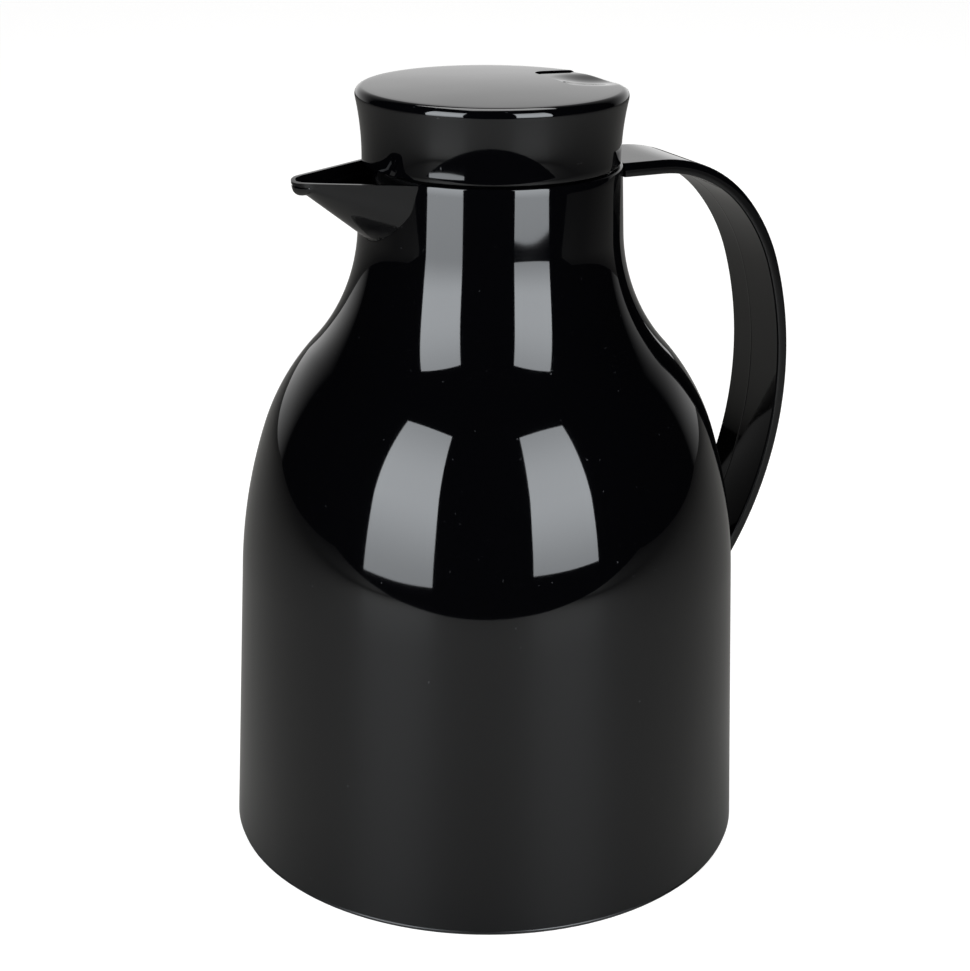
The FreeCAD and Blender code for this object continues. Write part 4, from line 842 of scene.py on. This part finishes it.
# %% Inner pieces
SHOWN = {
    "base_cap": ("jug", SATIN_BLACK),
    "neck_ring": ("jug", SATIN_BLACK),
    "neck_gasket": ("jug", GREY_SILICONE),
    "flask_inner_wall": ("jug", SILVERED_GLASS),
    "flask_outer_wall": ("jug", SILVERED_GLASS),
    "stopper_seal": ("lid_seal", GREY_SILICONE),
    "stopper_body": ("lid", SATIN_BLACK),
    "stopper_cover": ("lid", SATIN_BLACK),
    "valve_stem": ("valve", WHITE_ACETAL),
    "valve_disc": ("valve", WHITE_ACETAL),
    "valve_washer": ("valve", GREY_SILICONE),
    "stem_nut": ("valve", WHITE_ACETAL),
}
HIDDEN = {"flask_cushion": GREY_SILICONE, "flask_spacers": FIBRE_PAD, "stem_seal": GREY_SILICONE,
          "lever_pin": STEEL_WIRE}
for node, (body, material) in SHOWN.items():
    finish_piece(node + "_smooth", frame["nodes"][node].data.copy(), material, body, [node], EDGE_ANGLE)
for node, material in HIDDEN.items():
    frame["nodes"][node].data.materials.clear()
    frame["nodes"][node].data.materials.append(material)
    print(node, "takes", material.name)

# %% [markdown]
# The spring sits between the valve's disc and the stopper's cover. The cover holds its upper end still, and
# the rising valve presses it shorter. Its smooth copy rides with the lid on a mesh of its own.

# %% Valve spring
spring = finish_piece("valve_spring_coil", frame["nodes"]["valve_spring"].data.copy(), STEEL_WIRE, "lid",
                      ["valve_spring"], SOFT_EDGE_ANGLE)
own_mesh(spring)

# %% [markdown]
# The stopper screws into the collar on a two-start thread: two ridges that climb half a turn each between
# the pouring windows and the flange. A Screw modifier could make one ridge, but a thread is a section that
# follows a path and repeats, which is what Geometry Nodes are for: a small round section is swept along a
# spiral, and the ridge is then placed once for each start.

# %% Tree of the thread
def thread_tree():
    tree = bpy.data.node_groups.new("thread_ridges", "GeometryNodeTree")
    sockets = {}
    kinds = {"Radius": "Float", "Climb": "Float", "Turns": "Float", "Ridge": "Float", "Starts": "Int",
             "Material": "Material"}
    for name, kind in kinds.items():
        socket = tree.interface.new_socket(name, in_out="INPUT", socket_type="NodeSocket" + kind)
        sockets[name] = socket.identifier
    tree.interface.new_socket("Geometry", in_out="OUTPUT", socket_type="NodeSocketGeometry")
    given = add_node(tree, "NodeGroupInput")
    spiral = add_node(tree, "GeometryNodeCurveSpiral", inputs={"Resolution": 96},
                      links={"Rotations": given.outputs["Turns"], "Start Radius": given.outputs["Radius"],
                             "End Radius": given.outputs["Radius"], "Height": given.outputs["Climb"]})
    section = add_node(tree, "GeometryNodeCurvePrimitiveCircle", {"mode": "RADIUS"}, {"Resolution": 8},
                       {"Radius": given.outputs["Ridge"]})
    ridge = add_node(tree, "GeometryNodeCurveToMesh", inputs={"Fill Caps": True},
                     links={"Curve": spiral.outputs["Curve"], "Profile Curve": section.outputs["Curve"]})
    line = add_node(tree, "GeometryNodeMeshLine", {"mode": "OFFSET"}, {"Offset": (0, 0, 0)},
                    {"Count": given.outputs["Starts"]})
    index = add_node(tree, "GeometryNodeInputIndex")
    share = add_node(tree, "ShaderNodeMath", {"operation": "DIVIDE"},
                     links={0: index.outputs["Index"], 1: given.outputs["Starts"]})
    angle = add_node(tree, "ShaderNodeMath", {"operation": "MULTIPLY"}, {1: math.tau},
                     {0: share.outputs["Value"]})
    turn = add_node(tree, "ShaderNodeCombineXYZ", links={"Z": angle.outputs["Value"]})
    starts = add_node(tree, "GeometryNodeInstanceOnPoints",
                      links={"Points": line.outputs["Mesh"], "Instance": ridge.outputs["Mesh"],
                             "Rotation": turn.outputs["Vector"]})
    solid = add_node(tree, "GeometryNodeRealizeInstances", links={"Geometry": starts.outputs["Instances"]})
    painted = add_node(tree, "GeometryNodeSetMaterial",
                       links={"Geometry": solid.outputs["Geometry"], "Material": given.outputs["Material"]})
    add_node(tree, "NodeGroupOutput", links={"Geometry": painted.outputs["Geometry"]})
    print("thread tree with", len(tree.nodes), "nodes")
    return tree, sockets


THREAD_TREE, THREAD_SOCKETS = thread_tree()

# %% Lid thread
THREAD_LOW = 222.2
THREAD = {"Radius": 35.75 * MM, "Climb": 5.0 * MM, "Turns": 0.5, "Ridge": 0.75 * MM, "Starts": 2,
          "Material": SATIN_BLACK}


def make_thread():
    blank = linked("thread_blank", bpy.data.meshes.new("thread_blank"))
    ridges = blank.modifiers.new("ridges", "NODES")
    ridges.node_group = THREAD_TREE
    for name, value in THREAD.items():
        ridges[THREAD_SOCKETS[name]] = value
    graph = bpy.context.evaluated_depsgraph_get()
    mesh = bpy.data.meshes.new_from_object(blank.evaluated_get(graph))
    bpy.data.objects.remove(blank)
    mesh.transform(Matrix.Translation((0, 0, THREAD_LOW * MM)))
    finish_piece("stopper_thread", mesh, SATIN_BLACK, "lid", None, SOFT_EDGE_ANGLE)


make_thread()

# %% [markdown]
# The studio: a white table that ends in front of the jug, two tall softboxes left and right of the camera,
# a bright wall behind, and a dark room in front. The black plastic shows all of that: grey below from the
# table, two bright panes on shoulder and neck, near black above. Area lamps would light the jug as well,
# but a cloth that is dimmer towards its foot and its top, as a real softbox is, needs a mesh with a glowing
# material.

# %% Lamps
CLOTH_COLOUR, CLOTH_AWAY, CLOTH_TOP = "#f5faff", 0.78, 0.93
CLOTH_RADIANCE, CLOTH_FOOT_SHARE, CLOTH_TOP_SHARE = 7.6, 0.6, 0.75
TOP_RADIANCE, TOP_SIZE, TOP_BEHIND, TOP_HIGH = 4.2, 0.9, 0.5, 1.5


def view_turned(angle, distance, height):
    """A point around the jug, at an angle from the camera's direction (positive to the camera's right)."""
    a = math.radians(-90 - TURN + angle)
    return Vector((distance * math.cos(a), distance * math.sin(a), height))


def softbox_cloth(name):
    """A glowing cloth that is dimmer at its foot and towards its top."""
    material = bpy.data.materials.new(name)
    material.use_nodes = True
    tree = material.node_tree
    tree.nodes.remove(tree.nodes["Principled BSDF"])
    place = add_node(tree, "ShaderNodeTexCoord")
    height = add_node(tree, "ShaderNodeSeparateXYZ", links={"Vector": place.outputs["Object"]})
    lower = add_node(tree, "ShaderNodeMapRange", {"interpolation_type": "SMOOTHSTEP"},
                     {"From Min": 0.05, "From Max": 0.32, "To Min": CLOTH_RADIANCE * CLOTH_FOOT_SHARE,
                      "To Max": CLOTH_RADIANCE}, {"Value": height.outputs["Z"]})
    upper = add_node(tree, "ShaderNodeMapRange", {"interpolation_type": "SMOOTHSTEP"},
                     {"From Min": 0.42, "From Max": 0.98, "To Min": 1.0, "To Max": CLOTH_TOP_SHARE},
                     {"Value": height.outputs["Z"]})
    strength = add_node(tree, "ShaderNodeMath", {"operation": "MULTIPLY"}, {},
                        {0: lower.outputs["Result"], 1: upper.outputs["Result"]})
    glow = add_node(tree, "ShaderNodeEmission", inputs={"Color": linear(CLOTH_COLOUR)},
                    links={"Strength": strength.outputs["Value"]})
    tree.links.new(glow.outputs["Emission"], tree.nodes["Material Output"].inputs["Surface"])
    return material


def softbox(name, angle, width, low):
    """A tall upright cloth that faces the jug and that the camera doesn't see, in metres and degrees."""
    middle = view_turned(angle, CLOTH_AWAY, 0)
    across = Vector((-middle.y, middle.x, 0)).normalized() * width / 2
    corners = [middle - across, middle + across]
    mesh = bpy.data.meshes.new(name)
    mesh.from_pydata([(c.x, c.y, z) for z in (low, CLOTH_TOP) for c in corners], [], [[0, 1, 3, 2]])
    mesh.materials.append(softbox_cloth(name + "_cloth"))
    card = linked(name, mesh)
    card.visible_camera = False
    print(name, "at", angle, "degrees")


def top_light():
    """A square lamp high behind the jug that lights the table at its sides and rear."""
    data = bpy.data.lights.new("top_light", "AREA")
    data.shape, data.size = "SQUARE", TOP_SIZE
    data.energy = TOP_RADIANCE * math.pi * data.size ** 2
    lamp = bpy.data.objects.new("top_light", data)
    bpy.context.scene.collection.objects.link(lamp)
    lamp.location = view_turned(180, TOP_BEHIND, TOP_HIGH)
    lamp.visible_camera = False
    print("top light of", round(data.energy, 1), "watts")


softbox("softbox_left", -38.5, width=0.44, low=0.052)
softbox("softbox_right", 34.5, width=0.41, low=0.094)
top_light()

# %% [markdown]
# The table is a large white sheet whose front edge draws the curved line low on the jug's belly. The
# camera's picture has a pure white background, so the table glows for the camera alone, and the jug still
# mirrors its lit grey.

# %% Table
TABLE_FRONT, TABLE_BACK, TABLE_SIDE, TABLE_DROP = 0.6, 3.0, 1.8, 0.2
TABLE_COLOUR, TABLE_ROUGH, TABLE_LIFT = "#9a9894", 0.6, 0.9


def white_table():
    """The table's own lit colour, with white added for the camera."""
    material, tree, shader = new_material("white_table", {"Roughness": TABLE_ROUGH})
    shader.inputs["Base Color"].default_value = linear(TABLE_COLOUR)
    path = add_node(tree, "ShaderNodeLightPath")
    lift = add_node(tree, "ShaderNodeMath", {"operation": "MULTIPLY"}, {1: TABLE_LIFT},
                    {0: path.outputs["Is Camera Ray"]})
    glow = add_node(tree, "ShaderNodeEmission", inputs={"Color": (1, 1, 1, 1)},
                    links={"Strength": lift.outputs["Value"]})
    both = add_node(tree, "ShaderNodeAddShader",
                    links={0: shader.outputs["BSDF"], 1: glow.outputs["Emission"]})
    tree.links.new(both.outputs["Shader"], tree.nodes["Material Output"].inputs["Surface"])
    return material


def make_table():
    c, s = math.cos(math.radians(-TURN)), math.sin(math.radians(-TURN))
    sides = ((-TABLE_SIDE, -TABLE_FRONT), (TABLE_SIDE, -TABLE_FRONT), (TABLE_SIDE, TABLE_BACK),
             (-TABLE_SIDE, TABLE_BACK))
    mesh = bpy.data.meshes.new("table")
    mesh.from_pydata([(x * c - y * s, x * s + y * c, 0) for x, y in sides], [], [[0, 1, 2, 3]])
    mesh.materials.append(white_table())
    table = linked("table", mesh)
    table.location.z = -TABLE_DROP * MM
    print("table ends", TABLE_FRONT, "m in front of the jug")


make_table()

# %% [markdown]
# The room could be a picture of a studio, but two soft gradients are enough: a wall that is bright straight
# behind the jug and falls off to the sides and upwards, and near darkness elsewhere. The camera itself sees
# plain white.

# %% Room
WALL_BRIGHT, ROOM_DARK, WALL_UPPER = 1.0, 0.003, 0.28


def studio_room():
    world = bpy.data.worlds.new("studio_room")
    bpy.context.scene.world = world
    world.use_nodes = True
    tree = world.node_tree
    back = tree.nodes["Background"]
    place = add_node(tree, "ShaderNodeTexCoord")
    behind = math.radians(90 - TURN)
    facing = add_node(tree, "ShaderNodeVectorMath", {"operation": "DOT_PRODUCT"},
                      {1: (math.cos(behind), math.sin(behind), 0)}, {0: place.outputs["Generated"]})
    wall = add_node(tree, "ShaderNodeMapRange",
                    inputs={"From Min": 0.5, "From Max": 0.97, "To Min": ROOM_DARK, "To Max": WALL_BRIGHT},
                    links={"Value": facing.outputs["Value"]})
    height = add_node(tree, "ShaderNodeSeparateXYZ", links={"Vector": place.outputs["Generated"]})
    fall = add_node(tree, "ShaderNodeMapRange",
                    inputs={"From Min": 0.08, "From Max": 0.45, "To Min": 1.0, "To Max": WALL_UPPER},
                    links={"Value": height.outputs["Z"]})
    lit = add_node(tree, "ShaderNodeMath", {"operation": "MULTIPLY"}, {},
                   {0: wall.outputs["Result"], 1: fall.outputs["Result"]})
    path = add_node(tree, "ShaderNodeLightPath")
    seen = add_node(tree, "ShaderNodeMath", {"operation": "MAXIMUM"}, {},
                    {0: lit.outputs["Value"], 1: path.outputs["Is Camera Ray"]})
    tree.links.new(seen.outputs["Value"], back.inputs["Strength"])
    back.inputs["Color"].default_value = (1, 1, 1, 1)
    print("room with", len(tree.nodes), "nodes")


studio_room()
bpy.context.scene.view_settings.view_transform = "Standard"
